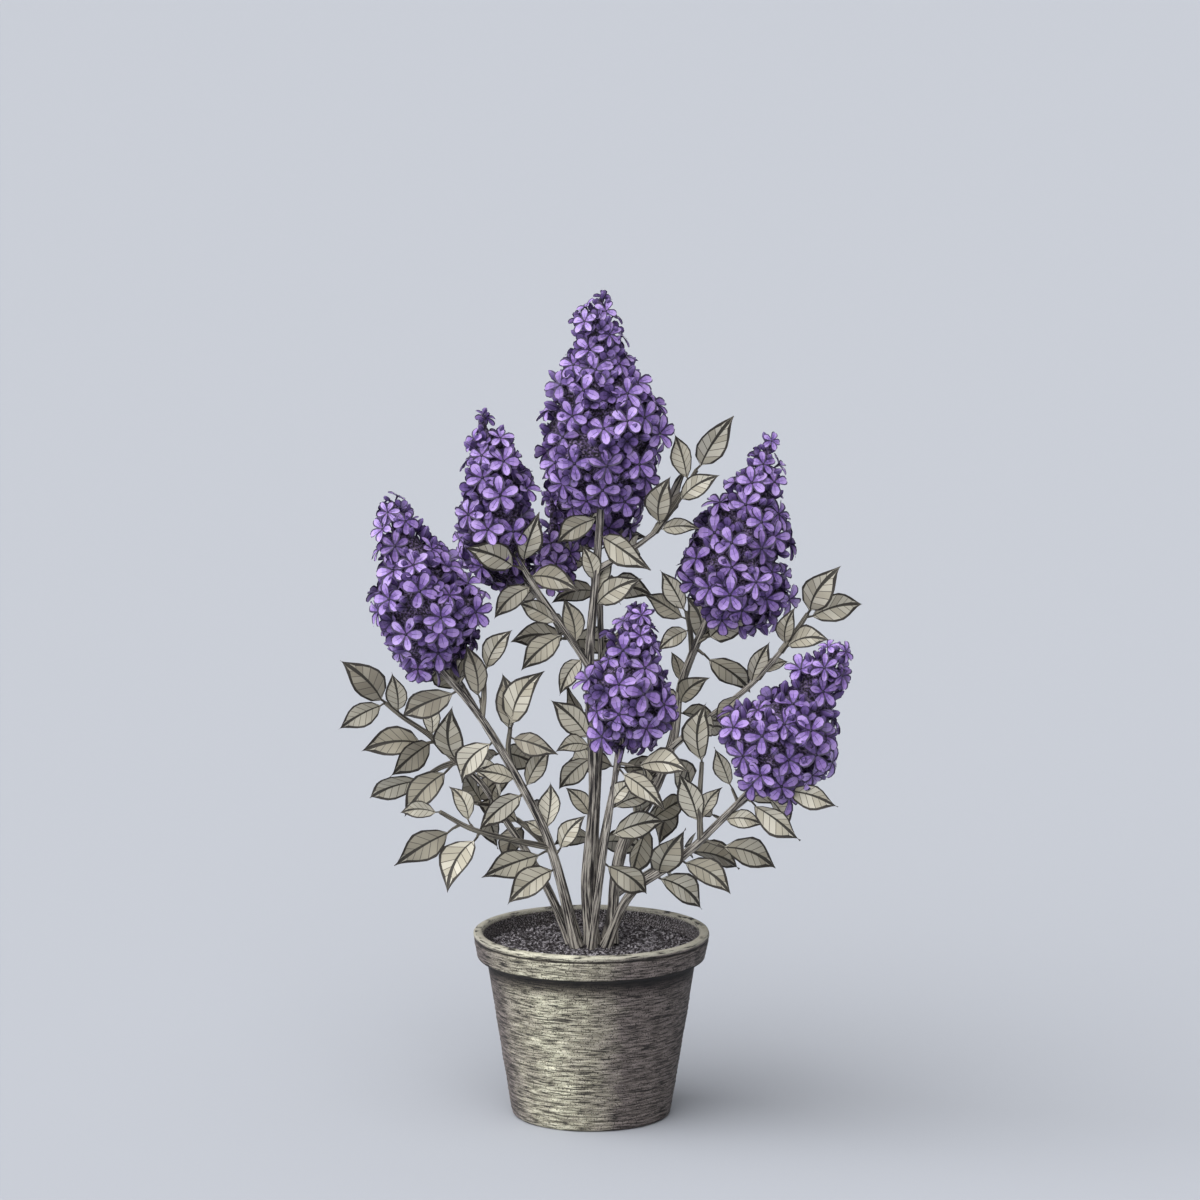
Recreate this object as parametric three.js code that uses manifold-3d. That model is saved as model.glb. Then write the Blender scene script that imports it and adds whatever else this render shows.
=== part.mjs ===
import * as THREE from "three";
import { mergeVertices } from "three/addons/utils/BufferGeometryUtils.js";
import Module from "manifold-3d";

// A lilac bush in full bloom, growing in a round stoneware flowerpot. All sizes are in millimetres,
// +Z is up, the origin is the centre of the pot's flat underside and the fuller side faces -Y.
const wasm = await Module();
wasm.setup();

// Driving dimensions
const clearance = 0.35; // gap kept between neighbouring pieces
const weld = 1e-4; // corners closer than this are one
const smoothing = 0.12; // how far a cut surface may stray when its slivers are merged
const pot = {
  height: 190,
  rimRadius: 120,
  rimBand: 26, // height of the thick band under the lip
  bandDraft: 4, // how far the band leans in towards its lower edge
  bandRounding: 1.5,
  shoulder: 13, // height of the slope from the band in to the body
  shoulderRadius: 105,
  footRadius: 80.5,
  footRounding: 4,
  lip: 9.5, // width of the lip seen from above
  lipRounding: 2.5,
  wall: 8,
  floor: 11,
  floorRounding: 3,
  drainHoles: 3,
  drainRadius: 6,
  drainCircle: 46,
  drainSides: 10,
  segments: 24,
};
const soil = {
  level: 176,
  edgeLevel: 173,
  flatRadius: 34, // the level middle that the stems stand on
  heapRing: 60,
  edgeRing: 14, // width of the slope at the wall
  heap: 1.6, // height of the shallow heaps outside the middle
  heapTurns: [0.09, 0.11], // how quickly they follow on each other along X and Y
};
const trunkFoot = 1; // the trunk stands this far to the right of the middle
const stemRing = { radius: 20, flare: 1.5, flareHeight: 9 }; // where the stems stand round the trunk
const limbSection = { sides: 5, stepLength: 55, taperPower: 0.8 };

// Limbs: standing ones start on the soil at a bearing round the trunk, the others on a limb at a height.
// thick is the diameter at the foot and at the tip.
const limbs = {
  trunk: {
    via: [[-4, 0, 235], [3, 0, 330], [-2, 0, 466], [4, 0, 545]],
    tip: [11, 0, 640],
    thick: [14.5, 7.5],
  },
  stem_left: {
    bearing: 222,
    via: [[-44, -32, 292], [-69, -42, 346], [-114, -54, 425]],
    tip: [-156, -60, 476],
    thick: [11, 7],
  },
  stem_far_left: {
    bearing: 176,
    via: [[-50, 18, 240], [-84, 32, 292], [-112, 42, 333]],
    tip: [-140, 42, 358],
    thick: [10, 6],
  },
  stem_front: {
    bearing: 272,
    via: [[6, -45, 230], [15, -85, 305], [23, -112, 366]],
    tip: [28, -125, 412],
    thick: [8.5, 5.5],
  },
  stem_right: {
    bearing: 2,
    via: [[30, 22, 270], [60, 32, 318], [84, 37, 380], [91, 38, 436]],
    tip: [122, 24, 520],
    thick: [12, 6.5],
  },
  stem_low_right: {
    bearing: 318,
    via: [[40, -32, 235], [90, -58, 277], [128, -76, 318]],
    tip: [174, -86, 368],
    thick: [10.5, 6.5],
  },
  stem_back: { bearing: 88, via: [[4, 58, 280], [10, 102, 420]], tip: [6, 125, 592], thick: [9, 6] },
  stem_back_left: {
    bearing: 134,
    via: [[-44, 52, 274], [-71, 84, 321], [-104, 106, 372]],
    tip: [-152, 102, 456],
    thick: [9, 6],
  },
  stem_back_right: {
    bearing: 42,
    via: [[36, 62, 269], [58, 86, 304], [84, 106, 372], [92, 114, 417]],
    tip: [132, 121, 520],
    thick: [9, 6],
  },
  bough_top_right: { on: "trunk", height: 560, via: [[44, -5, 584]], tip: [65, -10, 601], thick: [6.5, 5] },
  bough_upper_left: {
    on: "trunk",
    height: 462,
    via: [[-30, -8, 505], [-54, -6, 540]],
    tip: [-78, 0, 580],
    thick: [7.5, 5.5],
  },
  bough_upper_right: {
    on: "stem_right",
    height: 372,
    via: [[112, 22, 400], [160, 2, 442]],
    tip: [192, -8, 480],
    thick: [7, 5],
  },
  bough_back_upper_left: {
    on: "stem_back",
    height: 436,
    via: [[-39, 122, 489], [-60, 126, 520]],
    tip: [-84, 126, 548],
    thick: [6.5, 5],
  },
  bough_back_right: {
    on: "stem_back_right",
    height: 218,
    via: [[65, 62, 240], [101, 80, 257], [136, 92, 287]],
    tip: [200, 96, 340],
    thick: [7, 5.5],
  },
  bough_back_low: {
    on: "stem_back",
    height: 235,
    via: [[12, 100, 268], [21, 132, 305]],
    tip: [38, 164, 370],
    thick: [6.5, 5],
  },
};

// Flower heads: tapering clusters along an axis from a base to a top. left and right are how far the
// florets reach to either side of it, at seven equal steps; radius gives an even head its fullest width.
const heads = {
  head_top: {
    base: [11, 0, 612],
    top: [10, 0, 839],
    left: [45, 66, 62, 60, 52, 32, 26],
    right: [48, 58, 60, 62, 42, 30, 21],
  },
  head_upper_left: {
    base: [-80, 0, 558],
    top: [-109, 0, 722],
    left: [34, 52, 46, 40, 31, 28, 17],
    right: [22, 28, 32, 40, 31, 30, 13],
  },
  head_small_left: { base: [-34, 58, 534], top: [-41, 62, 628], radius: 23 },
  head_left: {
    base: [-155, -62, 456],
    top: [-201, -62, 645],
    left: [28, 42, 38, 41, 28, 26, 16],
    right: [18, 50, 78, 64, 50, 30, 24],
  },
  head_upper_right: {
    base: [126, 12, 496],
    top: [179, 12, 696],
    left: [30, 56, 52, 51, 36, 28, 14],
    right: [56, 61, 47, 49, 38, 29, 19],
  },
  head_front: {
    base: [28, -128, 392],
    top: [47, -128, 548],
    left: [31, 36, 49, 50, 27, 33, 17],
    right: [12, 50, 51, 36, 33, 24, 19],
  },
  head_right: {
    base: [170, -86, 346],
    top: [246, -86, 499],
    left: [40, 70, 68, 55, 35, 30, 21],
    right: [33, 39, 50, 40, 34, 28, 20],
  },
  head_back_top: { base: [6, 125, 566], top: [6, 128, 768], radius: 57 },
  head_back_upper_left: { base: [-82, 126, 519], top: [-107, 128, 674], radius: 46 },
  head_back_upper_right: { base: [128, 120, 497], top: [170, 122, 648], radius: 46 },
  head_back_left: { base: [-148, 100, 434], top: [-194, 104, 579], radius: 47 },
  head_back_right: { base: [188, 95, 316], top: [238, 98, 443], radius: 45 },
  head_back_front: { base: [36, 166, 346], top: [56, 168, 490], radius: 45 },
};
const evenHead = [0.8, 1, 0.95, 0.84, 0.68, 0.5, 0.32]; // an even head's reach, in shares of its radius
const headSection = { sides: 8, lump: 0.06, depth: 0.95 };

// Foliage: each mass is a leafy shoot. It grows from a limb, at a height or from its end, to a tip of its
// own, or clasps the stretch of limb between its leaves. A leaf is [place, direction, length, stalk]: its
// place is a height on the limb or a share of the free shoot, its direction is in degrees clockwise from
// straight up, seen from the bearing that the blades face, and a stalk is given where it is a long one.
// Shoots that have pairs carry opposite leaves, turned from straight up by the first spread at their foot
// and by the last at their end, all of them turned on by lean.
const foliage = {
  leaves_top_right: {
    on: "bough_top_right",
    via: [[85, -14, 630]],
    tip: [105, -20, 664],
    leaves: [[1, 34, 65], [0.8, -16, 52], [0.5, 58, 50], [0.05, 90, 42], [0.08, 13, 52]],
  },
  leaves_top: {
    on: "trunk",
    leaves: [[615, -123, 52], [598, 127, 64], [547, -20, 41], [533, 28, 44], [524, 61, 56]],
  },
  leaves_upper_left_low: {
    on: "bough_upper_left",
    leaves: [[507, -64, 47], [499, -132, 60], [482, -15, 52], [473, -151, 46]],
  },
  leaves_upper_left: {
    on: "bough_upper_left",
    leaves: [[547, -133, 53], [556, 109, 55], [567, 20, 55], [561, -70, 56, 8]],
  },
  leaves_far_left: {
    on: "stem_far_left",
    via: [[-164, 40, 383], [-194, 36, 405]],
    tip: [-209, 30, 419],
    leaves: [
      [1, -45, 62], [1, -120, 54], [0.8, -8, 44], [0.35, -15, 42], [0.3, -97, 66, 10], [0.34, -131, 58],
    ],
  },
  leaves_left_reach: {
    on: "stem_far_left",
    via: [[-154, 46, 349]],
    tip: [-170, 52, 338],
    leaves: [[0.02, -2, 58], [0.05, -138, 68, 8], [1, -112, 62]],
  },
  leaves_head_left: {
    on: "stem_left",
    height: 418,
    via: [[-107, -50, 440]],
    tip: [-107, -52, 465],
    leaves: [[1, 34, 52], [0.2, -15, 58, 10]],
  },
  leaves_left: { on: "stem_left", leaves: [[397, -144, 57], [448, -116, 64]] },
  leaves_left_twig: {
    on: "stem_left",
    height: 366,
    via: [[-83, -46, 386]],
    tip: [-81, -48, 407],
    leaves: [[0.9, -7, 61], [1, 30, 68], [0.8, 110, 52]],
  },
  leaves_inner_left: {
    on: "stem_left",
    leaves: [[297, 5, 52], [342, -131, 60], [344, 34, 49], [354, -78, 44]],
  },
  leaves_low_left: {
    on: "stem_left",
    height: 282,
    via: [[-86, -52, 296], [-121, -78, 312]],
    tip: [-150, -95, 332],
    leaves: [[0.8, -122, 70, 8], [0.62, -152, 62, 5], [0.68, -30, 44, 6], [1, -92, 40]],
  },
  leaves_foot_left: {
    on: "stem_left",
    leaves: [[261, -127, 62], [272, 37, 46, 8], [280, -112, 70, 6], [292, -54, 30]],
  },
  leaves_centre: { on: "trunk", leaves: [[306, -42, 42], [371, -136, 50], [380, -98, 38], [385, -45, 60]] },
  leaves_front: {
    on: "stem_front",
    leaves: [[276, 128, 56], [306, 77, 60], [337, 78, 45], [340, 43, 36]],
  },
  leaves_head_front: { on: "stem_front", leaves: [[382, 132, 60, 4], [386, 97, 54, 18]] },
  leaves_right_twig: {
    on: "stem_right",
    height: 470,
    via: [[100, 34, 493]],
    tip: [96, 28, 513],
    leaves: [[0.56, -125, 40], [0.78, -59, 52], [0.95, -31, 52]],
  },
  leaves_right: {
    on: "stem_right",
    leaves: [[416, 49, 42], [437, -17, 34], [476, 129, 62, 12], [479, 58, 58, 12]],
  },
  leaves_right_reach: { on: "bough_upper_right", leaves: [[434, -138, 40], [441, 24, 50], [455, 67, 30]] },
  leaves_far_right: {
    on: "bough_upper_right",
    via: [[209, -12, 505]],
    tip: [217, -14, 518],
    leaves: [[1, 33, 57], [0.9, 77, 60], [0.13, 14, 41], [0.13, 82, 45]],
  },
  leaves_right_middle: {
    on: "stem_low_right",
    height: 297,
    via: [[108, -80, 341]],
    tip: [110, -84, 380],
    leaves: [[0.95, 4, 65], [0.21, -22, 58], [0.24, 33, 42]],
  },
  leaves_low_right: {
    on: "stem_low_right",
    leaves: [[299, 113, 64, 16], [321, 98, 42], [338, -23, 46, 16], [345, 129, 62, 8], [362, 109, 54, 26]],
  },
  leaves_foot_right: { on: "stem_low_right", leaves: [[257, 128, 60], [258, 31, 56], [276, 125, 62]] },
  leaves_back_top: { on: "stem_back", facing: 90, span: [520, 562], pairs: 2, spread: [104, 76] },
  leaves_back_upper_left: {
    on: "bough_back_upper_left",
    facing: 120,
    span: [470, 520],
    pairs: 2,
    spread: [100, 62],
  },
  leaves_back_upper_right: {
    on: "stem_back_right",
    facing: 50,
    span: [395, 470],
    pairs: 2,
    spread: [106, 64],
  },
  leaves_back_left: { on: "stem_back_left", facing: 150, span: [355, 420], pairs: 2, spread: [110, 66] },
  leaves_back_right: { on: "bough_back_right", facing: 30, span: [255, 305], pairs: 2, spread: [110, 70] },
  leaves_back: { on: "bough_back_low", facing: 92, span: [262, 330], pairs: 2, spread: [112, 96] },
  leaves_back_low_left: {
    on: "stem_back_left",
    height: 262,
    tip: [-122, 128, 296],
    facing: 125,
    span: [0.4, 0.85],
    pairs: 2,
    spread: [120, 100],
    lean: -60,
  },
  leaves_back_low_right: {
    on: "stem_back_right",
    height: 262,
    tip: [96, 148, 296],
    facing: 50,
    span: [0.4, 0.85],
    pairs: 2,
    spread: [120, 100],
    lean: 60,
  },
};
const leaf = {
  length: 56,
  widthShare: 0.6,
  widestAt: 0.42, // share of the length from the foot
  thickness: 13,
  sizeSpread: 0.08,
  stray: 12, // degrees by which a paired leaf's direction varies
  outward: [-0.4, 0.65], // least and greatest lean of a leaf towards the side that its blade faces
  rise: 0.16, // how much such a lean also lifts it
  roll: 28, // degrees by which a blade may be turned about its own length
};
const frontBearing = 270;
const shootCore = {
  radius: 4.2, // of a free shoot
  cover: 2, // thickness of the sleeve round a limb
  sides: 4,
  stepLength: 50,
  margin: 4, // how far a sleeve runs on past its outer leaves
  reach: 4, // how far a leaf's solid runs on past its tip
  rooted: 2, // and how far back into its shoot
  fromEnd: 0.985, // share of a limb's length at which a shoot without a height leaves it
  bow: 0.08, // how far such a shoot arches up, in shares of its length
};

const finishes = {
  stoneware: { color: 0x9b998a, roughness: 0.75 },
  compost: { color: 0x4c494c, roughness: 1 },
  bark: { color: 0x6f665c, roughness: 0.85 },
  petal: { color: 0x7d61a4, roughness: 0.6 },
  leaf: { color: 0x8b877a, roughness: 0.6 },
};

const vector = ([x, y, z]) => new THREE.Vector3(x, y, z);
const degrees = THREE.MathUtils.degToRad;
const { lerp, clamp } = THREE.MathUtils;

// A repeatable sequence of numbers from 0 to 1, one sequence for each name.
function dice(name) {
  const modulus = 2147483647;
  let state = 7;
  for (const letter of name) state = (state * 31 + letter.charCodeAt(0)) % modulus;
  return () => {
    state = (state * 48271) % modulus;
    return state / modulus;
  };
}

// Solids
function solidOf(geometry) {
  const shape = geometry.clone();
  for (const name of Object.keys(shape.attributes)) if (name !== "position") shape.deleteAttribute(name);
  const merged = mergeVertices(shape.index ? shape.toNonIndexed() : shape, weld);
  return new wasm.Manifold(
    new wasm.Mesh({
      numProp: 3,
      vertProperties: merged.attributes.position.array,
      triVerts: new Uint32Array(merged.index.array),
    }),
  );
}

function geometryOf(solid) {
  const made = solid.getMesh();
  const geometry = new THREE.BufferGeometry();
  geometry.setAttribute("position", new THREE.BufferAttribute(new Float32Array(made.vertProperties), 3));
  geometry.setIndex(new THREE.BufferAttribute(new Uint32Array(made.triVerts), 1));
  const faceted = geometry.toNonIndexed();
  faceted.computeVertexNormals();
  return faceted;
}

// A cut can leave crumbs behind a limb: the largest body is the piece.
function largest(solid) {
  const bodies = solid.simplify(smoothing).decompose();
  return bodies.reduce((best, body) => (body.volume() > best.volume() ? body : best));
}

const carve = (solid, neighbours) =>
  largest(neighbours.reduce((left, neighbour) => left.subtract(neighbour), solid));

// Pot and soil
const insideRadius = (height) => {
  const top = pot.rimRadius - pot.lip;
  const bottom = pot.footRadius - pot.wall;
  return lerp(bottom, top, (height - pot.floor) / (pot.height - pot.floor));
};

function lathe(profile) {
  const points = profile.map(([radius, height]) => new THREE.Vector2(radius, height));
  return new THREE.LatheGeometry(points, pot.segments).rotateX(Math.PI / 2);
}

function makePot() {
  const bandFoot = pot.height - pot.rimBand;
  const bandRadius = pot.rimRadius - pot.bandDraft;
  const lipStart = pot.height - pot.lipRounding;
  const shell = solidOf(
    lathe([
      [0, 0],
      [pot.footRadius - pot.footRounding, 0],
      [pot.footRadius, pot.footRounding],
      [pot.shoulderRadius, bandFoot - pot.shoulder],
      [bandRadius - pot.bandRounding, bandFoot - pot.bandRounding],
      [bandRadius, bandFoot + pot.bandRounding],
      [pot.rimRadius, lipStart],
      [pot.rimRadius - pot.lipRounding, pot.height],
      [pot.rimRadius - pot.lip + pot.lipRounding, pot.height],
      [insideRadius(lipStart), lipStart],
      [insideRadius(pot.floor + pot.floorRounding), pot.floor + pot.floorRounding],
      [insideRadius(pot.floor) - pot.floorRounding, pot.floor],
      [0, pot.floor],
    ]),
  );
  const holes = Array.from({ length: pot.drainHoles }, (_, i) => {
    const turn = (i * 2 * Math.PI) / pot.drainHoles;
    const hole = new THREE.CylinderGeometry(pot.drainRadius, pot.drainRadius, pot.floor * 3, pot.drainSides);
    hole.rotateX(Math.PI / 2);
    hole.translate(pot.drainCircle * Math.cos(turn), pot.drainCircle * Math.sin(turn), pot.floor / 2);
    return solidOf(hole);
  });
  return carve(shell, holes);
}

function makeSoil() {
  const play = clearance / Math.cos(Math.PI / pot.segments);
  const foot = pot.floor + clearance;
  const edge = insideRadius(soil.edgeLevel) - play;
  const ball = lathe([
    [0, foot],
    [insideRadius(pot.floor) - pot.floorRounding - play, foot],
    [insideRadius(pot.floor + pot.floorRounding) - play, foot + pot.floorRounding],
    [edge, soil.edgeLevel],
    [edge - soil.edgeRing, soil.level],
    [soil.heapRing, soil.level],
    [soil.flatRadius, soil.level],
    [0, soil.level],
  ]);
  // the surface between the level middle and the edge lies in shallow heaps
  const position = ball.attributes.position;
  for (let i = 0; i < position.count; i += 1) {
    const [x, y, z] = [position.getX(i), position.getY(i), position.getZ(i)];
    const heaped = Math.hypot(x, y) > soil.flatRadius + 1 && z > soil.edgeLevel + 1;
    const wave = Math.sin(x * soil.heapTurns[0] + 1) * Math.cos(y * soil.heapTurns[1]);
    if (heaped) position.setZ(i, z + soil.heap * (wave - 1));
  }
  return solidOf(ball);
}

// Limbs
const standHeight = soil.level + clearance;
const limbCurves = {};

function limbCurve({ on, height, bearing, via, tip }) {
  const start = new THREE.Vector3(trunkFoot, 0, standHeight);
  if (on) start.copy(pointAtHeight(on, height));
  else if (bearing !== undefined) {
    start.x = stemRing.radius * Math.cos(degrees(bearing));
    start.y = stemRing.radius * Math.sin(degrees(bearing));
  }
  return new THREE.CatmullRomCurve3([start, ...via.map(vector), vector(tip)], false, "centripetal");
}

// The share of a limb's length at which it passes a height.
function shareAtHeight(name, height) {
  let [low, high] = [0, 1];
  for (let i = 0; i < 24; i += 1) {
    const middle = (low + high) / 2;
    if (limbCurves[name].getPointAt(middle).z < height) low = middle;
    else high = middle;
  }
  return low;
}

const pointAtHeight = (name, height) => limbCurves[name].getPointAt(shareAtHeight(name, height));

function limbRadius(name, share) {
  const { thick, on } = limbs[name];
  const taper = lerp(...thick, Math.pow(share, limbSection.taperPower)) / 2;
  const fromFoot = (share * limbCurves[name].getLength()) / stemRing.flareHeight;
  return on ? taper : taper + (stemRing.flare * thick[0]) / 10 / (1 + fromFoot * fromFoot);
}

// A cylinder bent along a curve; radiusAt(share of the length) gives its taper.
function bentCylinder(curve, sides, steps, radiusAt, flatFoot = null) {
  const tube = new THREE.CylinderGeometry(1, 1, 1, sides, steps);
  const frames = curve.computeFrenetFrames(steps, false);
  const position = tube.attributes.position;
  for (let i = 0; i < position.count; i += 1) {
    const step = Math.round((position.getY(i) + 0.5) * steps);
    const [across, along] = [position.getX(i), position.getZ(i)];
    const radius = radiusAt(step / steps);
    const point = curve.getPointAt(step / steps);
    point.addScaledVector(frames.normals[step], across * radius);
    point.addScaledVector(frames.binormals[step], -along * radius);
    if (step === 0 && flatFoot !== null) point.z = flatFoot;
    position.setXYZ(i, point.x, point.y, point.z);
  }
  return tube;
}

function makeLimb(name, extra = 0) {
  const curve = limbCurves[name];
  const steps = Math.max(3, Math.round(curve.getLength() / limbSection.stepLength));
  const radiusAt = (share) => limbRadius(name, share) + extra;
  const flatFoot = limbs[name].on ? null : standHeight - extra;
  return solidOf(bentCylinder(curve, limbSection.sides, steps, radiusAt, flatFoot));
}

// Flower heads
// How far a head reaches from its axis at one of its steps, at an angle that runs from 0 on the right to pi
// on the left.
function headReach({ left, right, radius }, step, angle) {
  if (radius) return radius * evenHead[step];
  const sideways = lerp(left[step], right[step], (1 + Math.cos(angle)) / 2);
  return sideways * lerp(headSection.depth, 1, Math.abs(Math.cos(angle)));
}

function makeHead(name, extra = 0) {
  const head = heads[name];
  const roll = dice(name);
  const phase = roll() * 2 * Math.PI;
  const base = vector(head.base);
  const axis = vector(head.top).sub(base);
  const rightward = new THREE.Vector3(axis.z, 0, -axis.x).normalize();
  const backward = new THREE.Vector3().crossVectors(axis, rightward).normalize();
  const rows = evenHead.length + 1;
  const ball = new THREE.SphereGeometry(1, headSection.sides, rows).rotateX(Math.PI / 2);
  const position = ball.attributes.position;
  for (let i = 0; i < position.count; i += 1) {
    const row = Math.round(rows * (1 - Math.acos(clamp(position.getZ(i), -1, 1)) / Math.PI));
    const angle = Math.atan2(position.getY(i), position.getX(i));
    const atEnd = row === 0 || row === rows;
    const lumps = 1 + headSection.lump * Math.sin(3 * angle + phase + row);
    const reach = atEnd ? 0 : headReach(head, row - 1, angle) * lumps + extra;
    const lengthways = atEnd ? (row ? extra : -extra) / axis.length() : 0;
    const point = base.clone().addScaledVector(axis, row / rows + lengthways);
    point.addScaledVector(rightward, reach * Math.cos(angle));
    point.addScaledVector(backward, reach * Math.sin(angle));
    position.setXYZ(i, point.x, point.y, point.z);
  }
  return solidOf(ball);
}

// Foliage
// The leaves of a shoot as [place, direction, length, stalk]: those listed, or opposite pairs.
function leafList(shoot, roll) {
  if (shoot.leaves) return shoot.leaves;
  const list = [];
  for (let i = 0; i < shoot.pairs; i += 1) {
    const step = i / (shoot.pairs - 1);
    for (const side of [-1, 1]) {
      const direction = (shoot.lean ?? 0) + side * lerp(...shoot.spread, step) + (roll() - 0.5) * leaf.stray;
      const length = leaf.length * (1 + (roll() - 0.5) * 2 * leaf.sizeSpread);
      list.push([lerp(...shoot.span, step), direction, length]);
    }
  }
  if (shoot.tip) list.push([1, shoot.lean, leaf.length]);
  return list;
}

function freeShoot({ on, height, via, tip }) {
  const start = limbCurves[on].getPointAt(height ? shareAtHeight(on, height) : shootCore.fromEnd);
  const end = vector(tip);
  const middle = start.clone().lerp(end, 0.5);
  middle.z += start.distanceTo(end) * shootCore.bow;
  return new THREE.CatmullRomCurve3([start, ...(via ? via.map(vector) : [middle]), end]);
}

// Where each leaf of a shoot sits, which way it points and how its blade is turned.
function leafPlaces(name) {
  const shoot = foliage[name];
  const roll = dice(name);
  const bearing = degrees(shoot.facing ?? frontBearing);
  const facing = new THREE.Vector3(Math.cos(bearing), Math.sin(bearing), 0);
  const rightward = new THREE.Vector3(0, 0, 1).cross(facing);
  const curve = shoot.tip ? freeShoot(shoot) : null;
  return leafList(shoot, roll).map(([place, direction, length, stalk = 0]) => {
    const turn = degrees(direction);
    const lean = lerp(...leaf.outward, roll());
    const aim = rightward.clone().multiplyScalar(Math.sin(turn)).addScaledVector(facing, lean);
    aim.z += Math.cos(turn) + leaf.rise * lean;
    const stretch = aim.length(); // the length given is what shows from the side that it faces
    aim.normalize();
    const across = new THREE.Vector3().crossVectors(facing, aim).normalize();
    across.applyAxisAngle(aim, degrees(lerp(-leaf.roll, leaf.roll, roll())));
    const point = curve ? curve.getPointAt(place) : pointAtHeight(shoot.on, place);
    return { place, point, aim, across, length: length * stretch, stalk: stalk * stretch };
  });
}

// One leaf as a thick lozenge from inside its shoot to past its tip.
function leafLump({ point, aim, across, length, stalk }, extra) {
  const lump = new THREE.OctahedronGeometry(1);
  const up = new THREE.Vector3().crossVectors(aim, across);
  const halfLength = (length + stalk + shootCore.reach + shootCore.rooted) / 2;
  const basis = new THREE.Matrix4().makeBasis(
    across.clone().multiplyScalar((length * leaf.widthShare) / 2 + extra),
    aim.clone().multiplyScalar(halfLength + extra),
    up.clone().multiplyScalar(-leaf.thickness / 2 - extra),
  );
  const position = lump.attributes.position;
  const widest = (stalk + length * leaf.widestAt) / halfLength - 1;
  for (let i = 0; i < position.count; i += 1) {
    const atWaist = Math.round(position.getY(i)) === 0;
    if (atWaist) position.setY(i, widest);
  }
  lump.applyMatrix4(basis);
  const centre = point.clone().addScaledVector(aim, halfLength - shootCore.rooted);
  return solidOf(lump.translate(centre.x, centre.y, centre.z));
}

// The shoot itself, or a sleeve round the stretch of limb that its leaves stand on.
function makeShootCore(shoot, places, extra) {
  const { sides, stepLength, margin, cover, radius } = shootCore;
  if (shoot.tip) return solidOf(bentCylinder(freeShoot(shoot), sides, 2, () => radius + extra));
  const heights = places.map(({ place }) => place);
  const from = shareAtHeight(shoot.on, Math.min(...heights) - margin);
  const to = shareAtHeight(shoot.on, Math.max(...heights) + margin);
  const steps = Math.ceil(((to - from) * limbCurves[shoot.on].getLength()) / stepLength);
  const stretch = Array.from({ length: 3 * steps + 1 }, (_, i) => lerp(from, to, i / (3 * steps)));
  const curve = new THREE.CatmullRomCurve3(stretch.map((share) => limbCurves[shoot.on].getPointAt(share)));
  const corner = 1 / Math.cos(Math.PI / sides);
  const radiusAt = (share) => (limbRadius(shoot.on, lerp(from, to, share)) + cover) * corner + extra;
  return solidOf(bentCylinder(curve, sides, steps, radiusAt));
}

function makeFoliage(name, extra = 0) {
  const places = leafPlaces(name);
  const core = makeShootCore(foliage[name], places, extra);
  return places.reduce((mass, place) => mass.add(leafLump(place, extra)), core);
}

// Assembly
const bush = new THREE.Group();

function addPiece(name, solid, finish) {
  const mesh = new THREE.Mesh(geometryOf(solid), new THREE.MeshStandardMaterial(finish));
  mesh.name = name;
  bush.add(mesh);
}

addPiece("pot", makePot(), finishes.stoneware);
addPiece("soil", makeSoil(), finishes.compost);

for (const [name, limb] of Object.entries(limbs)) limbCurves[name] = limbCurve(limb);
const headEnvelopes = Object.keys(heads).map((name) => makeHead(name, clearance));
const limbEnvelopes = Object.keys(limbs).map((name) => makeLimb(name, clearance));
for (const [name, { on }] of Object.entries(limbs)) {
  const parent = on ? [makeLimb(on, clearance)] : [];
  addPiece(name, carve(makeLimb(name), [...parent, ...headEnvelopes]), finishes.bark);
}

Object.keys(heads).forEach((name, i) => {
  addPiece(name, carve(makeHead(name), headEnvelopes.slice(0, i)), finishes.petal);
});

const masses = [];
for (const name of Object.keys(foliage)) {
  const piece = carve(makeFoliage(name), [...limbEnvelopes, ...headEnvelopes, ...masses]);
  addPiece(name, piece, finishes.leaf);
  masses.push(makeFoliage(name, clearance));
}

export default bush;
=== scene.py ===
import math

import bpy
import numpy as np
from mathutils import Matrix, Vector, noise


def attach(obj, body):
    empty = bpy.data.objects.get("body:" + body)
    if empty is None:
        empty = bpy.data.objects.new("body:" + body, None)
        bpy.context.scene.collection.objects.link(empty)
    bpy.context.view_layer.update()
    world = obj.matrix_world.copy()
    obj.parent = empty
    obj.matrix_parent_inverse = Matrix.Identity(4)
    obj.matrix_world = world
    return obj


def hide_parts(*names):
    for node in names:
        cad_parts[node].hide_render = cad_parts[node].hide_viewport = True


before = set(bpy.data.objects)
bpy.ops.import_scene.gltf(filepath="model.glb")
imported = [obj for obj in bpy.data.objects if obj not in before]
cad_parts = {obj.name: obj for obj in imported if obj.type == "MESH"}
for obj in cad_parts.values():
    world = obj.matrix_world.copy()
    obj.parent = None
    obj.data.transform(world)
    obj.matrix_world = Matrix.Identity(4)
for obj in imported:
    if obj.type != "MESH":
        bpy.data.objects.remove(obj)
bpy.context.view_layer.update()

# A lilac bush in full bloom in a thrown stoneware pot. The tables are in millimetres, +Z is up, the origin is
# the centre of the pot's underside and the fuller side faces -Y. Blender's own values are in metres.
mm = 0.001

viewpoint = {"place": (0.0088, -5.0, 1.347), "pitch": 9.285, "lens": 151.26, "sensor": 36.0}

camera = bpy.data.objects.new("camera", bpy.data.cameras.new("camera"))
camera.data.lens = viewpoint["lens"]
camera.data.sensor_width = viewpoint["sensor"]
camera.data.clip_end = 200
camera.location = viewpoint["place"]
camera.rotation_euler = (math.radians(90 - viewpoint["pitch"]), 0, 0)
bpy.context.scene.collection.objects.link(camera)
bpy.context.scene.camera = camera
print("camera set")


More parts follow.
